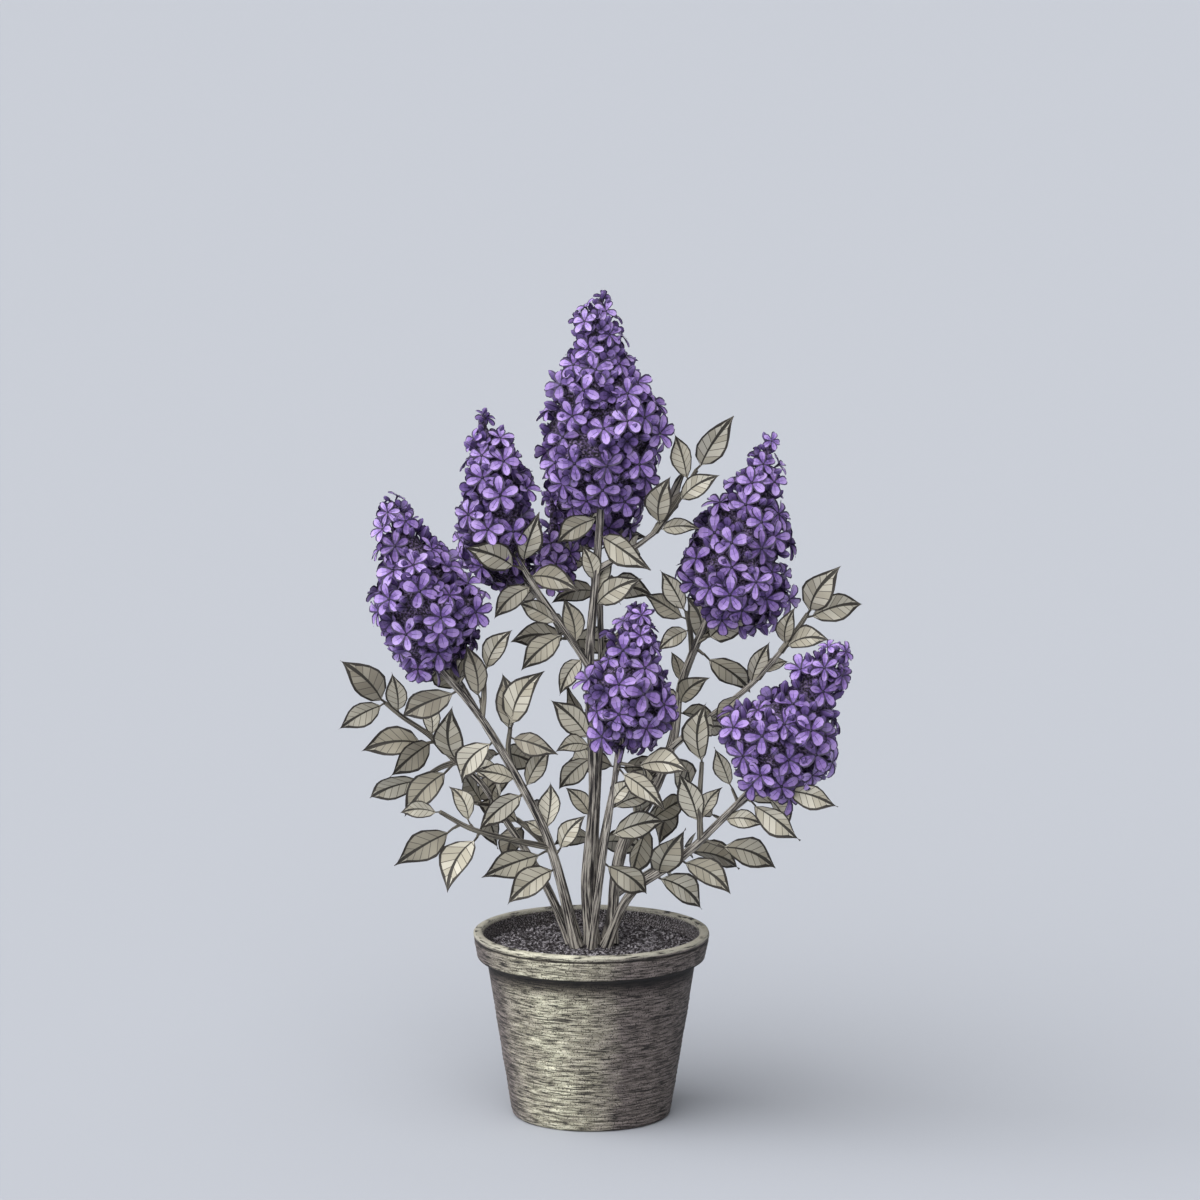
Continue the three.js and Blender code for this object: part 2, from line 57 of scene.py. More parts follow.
def linearColour(code):
    # sRGB hex to the linear values that the shaders work in
    parts = [int(code[i:i + 2], 16) / 255 for i in (1, 3, 5)]
    return (*[c / 12.92 if c <= 0.04045 else ((c + 0.055) / 1.055) ** 2.4 for c in parts], 1)


def addNode(tree, kind, inputs=None, steps=(), **settings):
    # adds a node, sets its properties and fills its inputs, each with a value or a link; a colour ramp also
    # takes its steps, as (position, colour)
    node = tree.nodes.new(kind)
    for name, value in settings.items():
        setattr(node, name, value)
    for name, value in (inputs or {}).items():
        if isinstance(value, bpy.types.NodeSocket):
            tree.links.new(value, node.inputs[name])
        else:
            node.inputs[name].default_value = value
    if steps:
        stops = node.color_ramp.elements
        while len(stops) < len(steps):
            stops.new(0.5)
        for stop, (position, colour) in zip(stops, steps):
            stop.position, stop.color = position, linearColour(colour)
    return node


def newMaterial(name, colour, roughness, **finish):
    material = bpy.data.materials.new(name)
    material.use_nodes = True
    shader = material.node_tree.nodes["Principled BSDF"]
    shader.inputs["Base Color"].default_value = linearColour(colour)
    shader.inputs["Roughness"].default_value = roughness
    for socket, value in finish.items():
        shader.inputs[socket.replace("_", " ")].default_value = value
    return material, material.node_tree, shader


def newMesh(name, vertices, faces, smooth=True):
    mesh = bpy.data.meshes.new(name)
    mesh.from_pydata([tuple(v) for v in vertices], [], [tuple(f) for f in faces])
    mesh.polygons.foreach_set("use_smooth", [smooth] * len(mesh.polygons))
    mesh.update()
    return mesh


def newObject(name, data, collection=None):
    made = bpy.data.objects.new(name, data)
    (collection or bpy.context.scene.collection).objects.link(made)
    return made


def finishPiece(piece, nodes):
    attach(piece, "root")
    if nodes:
        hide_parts(*nodes)


def bakeNodes(name, source, tree, values):
    # runs a node tree on an object and keeps its result as a plain mesh
    modifier = source.modifiers.new("nodes", "NODES")
    modifier.node_group = tree
    for socket in tree.interface.items_tree:
        if socket.in_out == "INPUT" and socket.name in values:
            modifier[socket.identifier] = values[socket.name]
    bpy.context.view_layer.update()
    evaluated = source.evaluated_get(bpy.context.evaluated_depsgraph_get())
    mesh = bpy.data.meshes.new_from_object(evaluated)
    mesh.name = name
    source.modifiers.remove(modifier)
    bpy.data.objects.remove(source)
    return newObject(name, mesh)


def newTree(name, sockets):
    # an empty geometry tree with named inputs, given as name: (type, default)
    tree = bpy.data.node_groups.new(name, "GeometryNodeTree")
    tree.interface.new_socket("Geometry", in_out="INPUT", socket_type="NodeSocketGeometry")
    tree.interface.new_socket("Geometry", in_out="OUTPUT", socket_type="NodeSocketGeometry")
    for label, (kind, value) in sockets.items():
        socket = tree.interface.new_socket(label, in_out="INPUT", socket_type="NodeSocket" + kind)
        if value is not None:
            socket.default_value = value
    return tree, tree.nodes.new("NodeGroupInput").outputs


def dice(name):
    # a repeatable sequence of numbers from 0 to 1, one sequence for each name: Park and Miller's generator
    modulus, multiplier, state = 2147483647, 48271, 7
    for letter in name:
        state = (state * 31 + ord(letter)) % modulus
    while True:
        state = (state * multiplier) % modulus
        yield state / modulus


def lerp(first, last, share):
    return first + (last - first) * share


def unit(v):
    return v / np.linalg.norm(v)


def turned(v, axis, angle):
    # Rodrigues' rotation of v about a unit axis
    c, s = math.cos(angle), math.sin(angle)
    return v * c + np.cross(axis, v) * s + axis * (axis @ v) * (1 - c)


class Path:
    # a centripetal Catmull-Rom curve through points, read by the share of its length
    def __init__(self, points, steps=60):
        points = [np.array(p, float) for p in points]
        points = [2 * points[0] - points[1], *points, 2 * points[-1] - points[-2]]
        line = []
        for p0, p1, p2, p3 in zip(points, points[1:], points[2:], points[3:]):
            t1 = np.linalg.norm(p1 - p0) ** 0.5
            t2 = t1 + np.linalg.norm(p2 - p1) ** 0.5
            t3 = t2 + np.linalg.norm(p3 - p2) ** 0.5
            for t in np.linspace(t1, t2, steps, endpoint=False):
                a1 = p0 * (t1 - t) / t1 + p1 * t / t1
                a2 = p1 * (t2 - t) / (t2 - t1) + p2 * (t - t1) / (t2 - t1)
                a3 = p2 * (t3 - t) / (t3 - t2) + p3 * (t - t2) / (t3 - t2)
                b1 = a1 * (t2 - t) / t2 + a2 * t / t2
                b2 = a2 * (t3 - t) / (t3 - t1) + a3 * (t - t1) / (t3 - t1)
                line.append(b1 * (t2 - t) / (t2 - t1) + b2 * (t - t1) / (t2 - t1))
        line.append(points[-2])
        self.line = np.array(line)
        walked = np.concatenate([[0], np.cumsum(np.linalg.norm(np.diff(self.line, axis=0), axis=1))])
        self.length, self.shares = walked[-1], walked / walked[-1]

    def at(self, share):
        return np.array([np.interp(share, self.shares, self.line[:, k]) for k in range(3)])

    def shareAtHeight(self, height, halvings=24):
        low, high = 0, 1
        for _ in range(halvings):
            middle = (low + high) / 2
            low, high = (middle, high) if self.at(middle)[2] < height else (low, middle)
        return low


# The pot: thrown, so it carries a shallow spiral of finger ridges, with a heavier band under the lip.
# wander and drift are slow swells of its wall, as waves round it, waves to the millimetre of height, and
# depth.
pot = {
    "height": 190, "rimRadius": 120, "rimBand": 26, "bandDraft": 4, "bandEdge": 1, "shoulder": 13,
    "shoulderRadius": 105, "shoulderOut": 1.5, "shoulderTop": 4, "shoulderRounding": 2.5,
    "footRadius": 80.5, "footRounding": 4.5, "easing": 0.4, "lip": 9.5, "lipFoot": 5.5,
    "lipFootRounding": 2, "lipRounding": (3.4, 3.2), "wall": 8, "floor": 11, "floorRounding": 4,
    "arcPoints": 5, "segments": 160, "rowHeight": 1.15, "ridgePitch": 4.6, "ridgeDepth": 0.35,
    "ridgeStray": 0.7, "bandRidge": 0.45, "wander": (1.3, 0.04, 0.5), "drift": (3, 0.25, 0.35),
    "driftShift": 9, "grooveBelow": 6.5, "grooveWidth": 1.1, "grooveDepth": 1.4, "plainFoot": 3,
    "plainFloor": 5, "plainWall": 4,
}

# The clay's patterns. A scale is in waves to the metre, so a brush line is about 1.6 mm high, the grit 1.3
# mm across and the patches 17 mm. A relief is (strength, depth); it, the edges and the heights are in
# millimetres. Colours and tints are (position, colour) steps. Light and shade are painted on as well:
# lighter towards the key lamp's bearing and darker round the other sides, with the patches wobbling that
# edge; shade under the band, in the groove below the lip and down the inside wall; and a highlight, mixed
# with wear, on the lip's top. Here the groove's distance below the brim sets the span of its painted
# shade.
ware = {
    "lineScale": (60, 60, 640), "gritScale": 780, "patchScale": 60, "lineRelief": (0.4, 1.0),
    "gritRelief": (0.35, 0.6), "paintedLightBearing": 247, "paintedLightRange": (0.79, 1.08), "paintedLightStray": 0.12,
    "patchRange": (0.3, 0.7), "bandShadeBelow": 26, "bandShadeAbove": 4, "grooveBelow": 10, "lipWearAndHighlight": 0.5,
    "lipEdge": (4, 2.5), "lipLines": (0.37, 0.46), "insideShade": 0.85, "insideShadeEdge": (2, 0.5), "insideShadeRise": 2,
    "lineColours": [(0.38, "#3f3c36"), (0.45, "#8f8c7c"), (0.51, "#b5b29f"), (0.6, "#dcd9c5")],
    "paintedLightTints": [(0, "#8b828c"), (0.3, "#b1abb0"), (0.78, "#cdcac8"), (1, "#f8f8f4")],
    "bandShadeTints": [(0.1, "#ffffff"), (0.4, "#a8a3a3"), (0.62, "#4b4544"),
                   (0.87, "#332e2e"), (0.9, "#ffffff")],
    "grooveShadeTints": [(0.2, "#ffffff"), (0.3, "#5b5552"), (0.42, "#5b5552"), (0.5, "#ffffff")],
    "gritTints": [(0.36, "#5a5552"), (0.45, "#ffffff")],
    "insideShadeColours": [(0.42, "#171516"), (0.5, "#3b373a"), (0.58, "#6f6a6e"), (0.66, "#a5a0a4")],
    "wornAndLitColour": "#c9c6b4",
}


def rounded(corners, step):
    # a lathe profile: (radius, height, rounding) corners joined by straight runs and short arcs
    line = []
    for i, (radius, height, rounding) in enumerate(corners):
        here = np.array([radius, height], float)
        if not rounding:
            line.append(here)
            continue
        before, after = np.array(corners[i - 1][:2], float), np.array(corners[i + 1][:2], float)
        start, end = here + unit(before - here) * rounding, here + unit(after - here) * rounding
        for t in np.linspace(0, 1, pot["arcPoints"]):
            line.append(start * (1 - t) ** 2 + here * 2 * t * (1 - t) + end * t * t)
    fine = [line[0]]
    for a, b in zip(line, line[1:]):
        count = max(1, int(np.linalg.norm(b - a) / step))
        fine += [a + (b - a) * k / count for k in range(1, count + 1)]
    return fine


def insideRadius(height):
    top, bottom = pot["rimRadius"] - pot["lip"], pot["footRadius"] - pot["wall"]
    return bottom + (top - bottom) * (height - pot["floor"]) / (pot["height"] - pot["floor"])


def lathe(profile, segments, shape=None):
    # turns a profile from the axis round to the axis again; shape may move each point outwards
    vertices, faces = [], []
    onAxis = 0.01  # a smaller radius than this counts as none
    for radius, height in profile:
        if radius < onAxis:
            vertices.append((0, 0, height * mm))
            continue
        for k in range(segments):
            turn = 2 * math.pi * k / segments
            grown = radius + (shape(radius, height, turn) if shape else 0)
            vertices.append((grown * math.cos(turn) * mm, grown * math.sin(turn) * mm, height * mm))
    first = 0
    for (ra, _), (rb, _) in zip(profile, profile[1:]):
        second = first + (1 if ra < onAxis else segments)
        for k in range(segments):
            j = (k + 1) % segments
            if ra < onAxis:
                faces.append((first, second + j, second + k))
            elif rb < onAxis:
                faces.append((first + k, first + j, second))
            else:
                faces.append((first + k, first + j, second + j, second + k))
        first = second
    return vertices, faces


def makePot():
    p = pot
    bandFoot, bandRadius, edge = p["height"] - p["rimBand"], p["rimRadius"] - p["bandDraft"], p["bandEdge"]
    profile = rounded([
        (0, 0, 0),
        (p["footRadius"], 0, p["footRounding"]),
        (p["shoulderRadius"] - p["easing"], bandFoot - p["shoulder"], p["shoulderRounding"]),
        (p["shoulderRadius"] + p["shoulderOut"], bandFoot - p["shoulderTop"], p["shoulderRounding"]),
        (bandRadius - edge, bandFoot - edge, edge),
        (bandRadius, bandFoot + edge, edge),
        (p["rimRadius"] - p["easing"], p["height"] - p["lipFoot"], p["lipFootRounding"]),
        (p["rimRadius"], p["height"], p["lipRounding"][0]),
        (p["rimRadius"] - p["lip"], p["height"], p["lipRounding"][1]),
        (insideRadius(p["floor"]), p["floor"], p["floorRounding"]),
        (0, p["floor"], 0),
    ], p["rowHeight"])

    def thrown(radius, height, turn):
        if radius < insideRadius(max(height, p["plainFloor"])) + p["plainWall"] or height < p["plainFoot"]:
            return 0
        x, y = math.cos(turn), math.sin(turn)
        around, upwards, wanderDepth = p["wander"]
        wander = noise.noise((x * around, y * around, height * upwards))
        around, upwards, driftDepth = p["drift"]
        drift = noise.noise((x * around + p["driftShift"], y * around, height * upwards))
        rings = height / p["ridgePitch"] + turn / (2 * math.pi) + wander * p["ridgeStray"]
        onBand = height > bandFoot - p["shoulder"]
        ridge = math.sin(2 * math.pi * rings) * p["ridgeDepth"] * (p["bandRidge"] if onBand else 1)
        fromGroove = (height - p["height"] + p["grooveBelow"]) / p["grooveWidth"]
        groove = p["grooveDepth"] * math.exp(-fromGroove ** 2)
        return ridge + drift * driftDepth + wander * wanderDepth - groove

    vertices, faces = lathe(profile, p["segments"], thrown)
    return newMesh("pot_ware", vertices, faces)


def stonewareMaterial():
    # unglazed stoneware, thrown and wiped with a wet brush: dry and matt, so it takes a broad dull light.
    # Dark brush lines run round the khaki clay, and iron grit has burnt through it. Light is painted onto the
    # side turned to the key lamp and shade round the other sides; shade is painted under the band, in the
    # groove below the lip and, in the compost's dark colours, down the inside wall; and the lip's top is
    # paler, partly worn and partly a painted highlight.
    w = ware
    brim, bandFoot, inner = pot["height"], pot["height"] - pot["rimBand"], pot["rimRadius"] - pot["lip"]
    material, tree, shader = newMaterial("stoneware_wheel_thrown_unglazed", "#a3a08e", 0.8, IOR=1.5)
    place = addNode(tree, "ShaderNodeTexCoord").outputs["Object"]
    height = addNode(tree, "ShaderNodeSeparateXYZ", {0: place}).outputs["Z"]
    linePlace = addNode(tree, "ShaderNodeMapping", {"Vector": place, "Scale": w["lineScale"]}).outputs[0]
    lines = addNode(tree, "ShaderNodeTexNoise", {
        "Vector": linePlace, "Scale": 1, "Detail": 4, "Roughness": 0.6}).outputs["Fac"]
    grit = addNode(tree, "ShaderNodeTexNoise", {
        "Vector": place, "Scale": w["gritScale"], "Detail": 2, "Roughness": 0.5}).outputs["Fac"]
    patches = addNode(tree, "ShaderNodeTexNoise", {
        "Vector": place, "Scale": w["patchScale"], "Detail": 4}).outputs["Fac"]
    flat = addNode(tree, "ShaderNodeVectorMath", {0: place, 1: (1, 1, 0)}, operation="MULTIPLY").outputs[0]
    radius = addNode(tree, "ShaderNodeVectorMath", {0: flat}, operation="LENGTH").outputs["Value"]
    outwards = addNode(tree, "ShaderNodeVectorMath", {0: flat}, operation="NORMALIZE").outputs[0]
    # painted light: how squarely the clay faces the key lamp's bearing, turned below into lighter and darker
    # colour
    paintedLightTurn = math.radians(w["paintedLightBearing"])
    facing = addNode(tree, "ShaderNodeVectorMath", {
        0: outwards, 1: (math.cos(paintedLightTurn), math.sin(paintedLightTurn), 0)}, operation="DOT_PRODUCT").outputs["Value"]

    masks = {}  # each rises from 0 to 1 between its two limits
    for label, value, low, high in (
            ("strayed", patches, *w["patchRange"]),
            ("brushed", lines, *w["lipLines"]),
            # painted shade under the band
            ("shadedUnderBand", height, (bandFoot - w["bandShadeBelow"]) * mm, (bandFoot + w["bandShadeAbove"]) * mm),
            # painted shade in the groove below the lip
            ("shadedGroove", height, (brim - w["grooveBelow"]) * mm, brim * mm),
            # the lip's top: made paler, partly as wear and partly as a painted highlight
            ("onLip", height, (brim - w["lipEdge"][0]) * mm, (brim - w["lipEdge"][1]) * mm),
            # this and the next mark the inside wall above the soil, where shade is painted in compost colours
            ("aboveFoot", height, bandFoot * mm, (bandFoot + w["insideShadeRise"]) * mm),
            ("within", radius, (inner + w["insideShadeEdge"][0]) * mm, (inner + w["insideShadeEdge"][1]) * mm)):
        masks[label] = addNode(tree, "ShaderNodeMapRange", {
            "Value": value, "From Min": low, "From Max": high}).outputs[0]
    stray = addNode(tree, "ShaderNodeMath", {
        0: masks["strayed"], 1: w["paintedLightStray"]}, operation="MULTIPLY").outputs[0]
    towardsPaintedLight = addNode(tree, "ShaderNodeMath", {0: facing, 1: stray}, operation="ADD").outputs[0]
    paintedLightShare = addNode(tree, "ShaderNodeMapRange", {
        "Value": towardsPaintedLight, "From Min": w["paintedLightRange"][0], "From Max": w["paintedLightRange"][1]}).outputs[0]

    colour = addNode(tree, "ShaderNodeValToRGB", {"Fac": lines}, w["lineColours"]).outputs["Color"]
    # painted light and shade: lighter towards the key lamp and darker round the rest, then shade under the
    # band and in the groove; the grit is the clay's own
    for factor, tints in ((paintedLightShare, "paintedLightTints"), (masks["shadedUnderBand"], "bandShadeTints"),
                          (masks["shadedGroove"], "grooveShadeTints"), (grit, "gritTints")):
        tint = addNode(tree, "ShaderNodeValToRGB", {"Fac": factor}, w[tints]).outputs["Color"]
        colour = addNode(tree, "ShaderNodeMix", {
            0: 1.0, 6: colour, 7: tint}, data_type="RGBA", blend_type="MULTIPLY").outputs[2]
    # the inside wall's painted shade takes the compost's dark speckled colours
    insideShadeColour = addNode(tree, "ShaderNodeValToRGB", {"Fac": grit}, w["insideShadeColours"]).outputs["Color"]
    for first, second, amount, layer in (
            ("within", "aboveFoot", "insideShade", insideShadeColour),
            # the lip's top paler: partly wear, partly a painted highlight
            ("onLip", "brushed", "lipWearAndHighlight", linearColour(w["wornAndLitColour"]))):
        both = addNode(tree, "ShaderNodeMath", {
            0: masks[first], 1: masks[second]}, operation="MULTIPLY").outputs[0]
        cover = addNode(tree, "ShaderNodeMath", {0: both, 1: w[amount]}, operation="MULTIPLY").outputs[0]
        colour = addNode(tree, "ShaderNodeMix", {0: cover, 6: colour, 7: layer}, data_type="RGBA").outputs[2]
    tree.links.new(colour, shader.inputs["Base Color"])

    relief = None
    for pattern, (strength, depth) in ((lines, w["lineRelief"]), (grit, w["gritRelief"])):
        under = {"Normal": relief.outputs[0]} if relief else {}
        relief = addNode(tree, "ShaderNodeBump", {
            "Height": pattern, "Strength": strength, "Distance": depth * mm, **under})
    tree.links.new(relief.outputs[0], shader.inputs["Normal"])
    return material


potPiece = newObject("pot_ware", makePot())
potPiece.data.materials.append(stonewareMaterial())
finishPiece(potPiece, ["pot"])
print("pot thrown")

# The soil: damp potting compost, nearly level, with crumbs lying on it. A scale is in waves to the metre,
# so the grains are about 3 mm across and the clods 11 mm. heap is the height of its unevenness, which rises
# in broad swells and in finer lumps.
soil = {
    "level": 176, "edgeLevel": 173, "gap": 0.5, "footRounding": 4, "segments": 150, "rings": 52,
    "slopeRings": 8, "heap": 1.21, "heapSunk": 0.75, "swellScale": 45, "lumpScale": 210, "lumpShare": 0.45,
    "crumb": (1.4, 4.6), "crumbShapes": 4, "crumbReach": 0.4998, "crumbLump": (0.45, 1.7),
    "crumbsPerSquareMetre": 52000, "seed": 4, "grainScale": 300, "clodScale": 90, "grainRelief": (0.7, 1.0),
    "clodColour": "#2f292b",
    "grainColours": [(0.43, "#0f0d0f"), (0.5, "#393538"), (0.56, "#88838a"), (0.62, "#d2cdd2")],
}


def makeSoil():
    s = soil
    edge, foot = insideRadius(s["edgeLevel"]) - s["gap"], pot["floor"] + s["gap"]
    corner = pot["floor"] + s["footRounding"]
    profile = [(0, foot), (insideRadius(pot["floor"]) - s["footRounding"] + s["gap"], foot),
               (insideRadius(corner) - s["gap"], corner), (edge, s["edgeLevel"])]
    profile += [(edge * (1 - k / s["rings"]), lerp(s["edgeLevel"], s["level"], min(1, k / s["slopeRings"])))
                for k in range(1, s["rings"] + 1)]
    vertices, faces = lathe(profile, s["segments"])
    for i, (x, y, z) in enumerate(vertices):
        if z > (s["edgeLevel"] - 1) * mm and math.hypot(x, y) < (edge - 1) * mm:
            swell = noise.fractal((x * s["swellScale"], y * s["swellScale"], 3), 1, 2, 2)
            lump = noise.fractal((x * s["lumpScale"], y * s["lumpScale"], 7), 1, 2, 3)
            vertices[i] = (x, y, z + (swell + s["lumpShare"] * lump - s["heapSunk"]) * s["heap"] * mm)
    return newMesh("potting_soil", vertices, faces)


def crumbShape(name, seed):
    # an uneven lump of compost, one millimetre across
    golden = (1 + 5 ** 0.5) / 2
    corners = [(-1, golden, 0), (1, golden, 0), (-1, -golden, 0), (1, -golden, 0), (0, -1, golden),
               (0, 1, golden), (0, -1, -golden), (0, 1, -golden), (golden, 0, -1), (golden, 0, 1),
               (-golden, 0, -1), (-golden, 0, 1)]
    faces = [(0, 11, 5), (0, 5, 1), (0, 1, 7), (0, 7, 10), (0, 10, 11), (1, 5, 9), (5, 11, 4), (11, 10, 2),
             (10, 7, 6), (7, 1, 8), (3, 9, 4), (3, 4, 2), (3, 2, 6), (3, 6, 8), (3, 8, 9), (4, 9, 5),
             (2, 4, 11), (6, 2, 10), (8, 6, 7), (9, 8, 1)]
    depth, scale = soil["crumbLump"]
    vertices = []
    for corner in corners:
        point = Vector(corner).normalized()
        reach = soil["crumbReach"] * (1 + depth * noise.noise(point * scale + Vector((seed * 7, 0, 0))))
        vertices.append(point * reach * mm)
    return newMesh(name, vertices, faces, smooth=False)


def scatterTree():
    tree, given = newTree("scatter_crumbs", {
        "Crumbs": ("Collection", None), "Per square metre": ("Float", 1000.0), "Smallest": ("Float", 1.0),
        "Largest": ("Float", 3.0), "Seed": ("Int", 1), "Material": ("Material", None)})
    levelFrom, fullTurn = 0.5, 6.3  # the least upward part of a level face's normal, and just over 2 pi
    normal = addNode(tree, "GeometryNodeInputNormal").outputs[0]
    up = addNode(tree, "ShaderNodeSeparateXYZ", {0: normal}).outputs["Z"]
    level = addNode(tree, "FunctionNodeCompare", {"A": up, "B": levelFrom}, operation="GREATER_THAN")
    spread = addNode(tree, "GeometryNodeDistributePointsOnFaces", {
        "Mesh": given["Geometry"], "Selection": level.outputs[0], "Density": given["Per square metre"],
        "Seed": given["Seed"]})
    angles = addNode(tree, "FunctionNodeRandomValue", {
        1: (fullTurn, fullTurn, fullTurn), "Seed": given["Seed"]}, data_type="FLOAT_VECTOR")
    turn = addNode(tree, "FunctionNodeEulerToRotation", {0: angles.outputs[0]})
    size = addNode(tree, "FunctionNodeRandomValue", {
        2: given["Smallest"], 3: given["Largest"], "Seed": given["Seed"]})
    shapes = addNode(tree, "GeometryNodeCollectionInfo", {
        "Collection": given["Crumbs"], "Separate Children": True, "Reset Children": True})
    placed = addNode(tree, "GeometryNodeInstanceOnPoints", {
        "Points": spread.outputs["Points"], "Instance": shapes.outputs[0], "Pick Instance": True,
        "Rotation": turn.outputs[0], "Scale": size.outputs[1]})
    whole = addNode(tree, "GeometryNodeRealizeInstances", {0: placed.outputs[0]})
    dressed = addNode(tree, "GeometryNodeSetMaterial", {
        "Geometry": whole.outputs[0], "Material": given["Material"]})
    addNode(tree, "NodeGroupOutput", {0: dressed.outputs[0]})
    return tree


def compostMaterial():
    # damp potting compost: nearly black, dull, broken by paler grit and fibres
    material, tree, shader = newMaterial("compost_damp_crumbly", "#453f3d", 0.95)
    place = addNode(tree, "ShaderNodeTexCoord").outputs["Object"]
    grains = addNode(tree, "ShaderNodeTexNoise", {
        "Vector": place, "Scale": soil["grainScale"], "Detail": 3}).outputs["Fac"]
    clods = addNode(tree, "ShaderNodeTexNoise", {
        "Vector": place, "Scale": soil["clodScale"], "Detail": 2}).outputs["Fac"]
    dark = addNode(tree, "ShaderNodeValToRGB", {"Fac": grains}, soil["grainColours"]).outputs["Color"]
    mixed = addNode(tree, "ShaderNodeMix", {
        0: clods, 6: dark, 7: linearColour(soil["clodColour"])}, data_type="RGBA").outputs[2]
    tree.links.new(mixed, shader.inputs["Base Color"])
    strength, depth = soil["grainRelief"]
    bump = addNode(tree, "ShaderNodeBump", {"Height": grains, "Strength": strength, "Distance": depth * mm})
    tree.links.new(bump.outputs[0], shader.inputs["Normal"])
    return material


compost = compostMaterial()
soilPiece = newObject("potting_soil", makeSoil())
soilPiece.data.materials.append(compost)
crumbs = bpy.data.collections.new("crumbs")
for k in range(soil["crumbShapes"]):
    newObject(f"crumb_{k}", crumbShape(f"crumb_{k}", k), crumbs)
crumbPiece = bakeNodes("soil_crumbs", newObject("crumb_bed", soilPiece.data.copy()), scatterTree(), {
    "Crumbs": crumbs, "Per square metre": soil["crumbsPerSquareMetre"], "Smallest": soil["crumb"][0],
    "Largest": soil["crumb"][1], "Seed": soil["seed"], "Material": compost})
finishPiece(soilPiece, ["soil"])
finishPiece(crumbPiece, [])
print("soil filled")

# The limbs: the standing ones start on the soil at a bearing round the trunk, the others on a limb at a
# height. thick is the diameter at the foot and at the tip.
limbs = {
    "trunk": {"via": [(-4, 0, 235), (3, 0, 330), (-2, 0, 466), (4, 0, 545)], "tip": (11, 0, 640),
              "thick": (14.5, 7.5)},
    "stem_left": {"bearing": 222, "via": [(-44, -32, 292), (-69, -42, 346), (-114, -54, 425)],
                  "tip": (-156, -60, 476), "thick": (11, 7)},
    "stem_far_left": {"bearing": 176, "via": [(-50, 18, 240), (-84, 32, 292), (-112, 42, 333)],
                      "tip": (-140, 42, 358), "thick": (10, 6)},
    "stem_front": {"bearing": 272, "via": [(6, -45, 230), (15, -85, 305), (23, -112, 366)],
                   "tip": (28, -125, 412), "thick": (8.5, 5.5)},
    "stem_right": {"bearing": 2, "via": [(30, 22, 270), (60, 32, 318), (84, 37, 380), (91, 38, 436)],
                   "tip": (122, 24, 520), "thick": (12, 6.5)},
    "stem_low_right": {"bearing": 318, "via": [(40, -32, 235), (90, -58, 277), (128, -76, 318)],
                       "tip": (174, -86, 368), "thick": (10.5, 6.5)},
    "stem_back": {"bearing": 88, "via": [(4, 58, 280), (10, 102, 420)], "tip": (6, 125, 592),
                  "thick": (9, 6)},
    "stem_back_left": {"bearing": 134, "via": [(-44, 52, 274), (-71, 84, 321), (-104, 106, 372)],
                       "tip": (-152, 102, 456), "thick": (9, 6)},
    "stem_back_right": {"bearing": 42, "via": [(36, 62, 269), (58, 86, 304), (84, 106, 372), (92, 114, 417)],
                        "tip": (132, 121, 520), "thick": (9, 6)},
    "bough_top_right": {"on": "trunk", "height": 560, "via": [(44, -5, 584)], "tip": (65, -10, 601),
                        "thick": (6.5, 5)},
    "bough_upper_left": {"on": "trunk", "height": 462, "via": [(-30, -8, 505), (-54, -6, 540)],
                         "tip": (-78, 0, 580), "thick": (7.5, 5.5)},
    "bough_upper_right": {"on": "stem_right", "height": 372, "via": [(112, 22, 400), (160, 2, 442)],
                          "tip": (192, -8, 480), "thick": (7, 5)},
    "bough_back_upper_left": {"on": "stem_back", "height": 436, "via": [(-39, 122, 489), (-60, 126, 520)],
                              "tip": (-84, 126, 548), "thick": (6.5, 5)},
    "bough_back_right": {"on": "stem_back_right", "height": 218,
                         "via": [(65, 62, 240), (101, 80, 257), (136, 92, 287)], "tip": (200, 96, 340),
                         "thick": (7, 5.5)},
    "bough_back_low": {"on": "stem_back", "height": 235, "via": [(12, 100, 268), (21, 132, 305)],
                       "tip": (38, 164, 370), "thick": (6.5, 5)},
}
stemRing = {"radius": 20, "gap": 0.35, "trunkFoot": (1, 0)}
taper = {"power": 0.8, "flare": 0.15, "flareHeight": 9, "collar": 0.3, "collarLength": 9}

# The bark's patterns run on barkPlace, which is the place round the limb, in radii, with the way along it
# as its height at rise to the metre. A relief is (strength, depth in millimetres).
bark = {
    "sides": 16, "ringSpacing": 2.2, "relief": 1.1, "sample": 3.0, "rise": 22, "ridgeScale": 1.9,
    "fissureScale": (3.4, 3.4, 1.5), "fissureRelief": (0.6, 0.8), "fleckScale": 5,
    "plates": (0.42, 0.49, 0.57), "fleckShares": [(0.6, "#000000"), (0.72, "#b0b0b0")],
}

limbPaths, stemFoot = {}, soil["level"] + stemRing["gap"]
for name, limb in limbs.items():
    if "on" in limb:
        parent = limbPaths[limb["on"]]
        start = parent.at(parent.shareAtHeight(limb["height"]))
    elif "bearing" in limb:
        turn = math.radians(limb["bearing"])
        start = (stemRing["radius"] * math.cos(turn), stemRing["radius"] * math.sin(turn), stemFoot)
    else:
        start = (*stemRing["trunkFoot"], stemFoot)
    limbPaths[name] = Path([start, *limb["via"], limb["tip"]])


def limbRadius(name, share):
    limb, fromFoot = limbs[name], share * limbPaths[name].length
    foot, tip = limb["thick"]
    radius = lerp(foot, tip, share ** taper["power"]) / 2
    if "on" in limb:  # a bough has a collar where it leaves its limb
        return radius * (1 + taper["collar"] * math.exp(-fromFoot / taper["collarLength"]))
    return radius + taper["flare"] * foot / (1 + (fromFoot / taper["flareHeight"]) ** 2)


def addSpline(curve, points, radii):
    spline = curve.splines.new("POLY")
    spline.points.add(len(points) - 1)
    for knot, point, radius in zip(spline.points, points, radii):
        knot.co = (*(np.array(point) * mm), 1)
        knot.radius = radius * mm


def newCurve(name):
    curve = bpy.data.curves.new(name, "CURVE")
    curve.dimensions = "3D"
    return curve


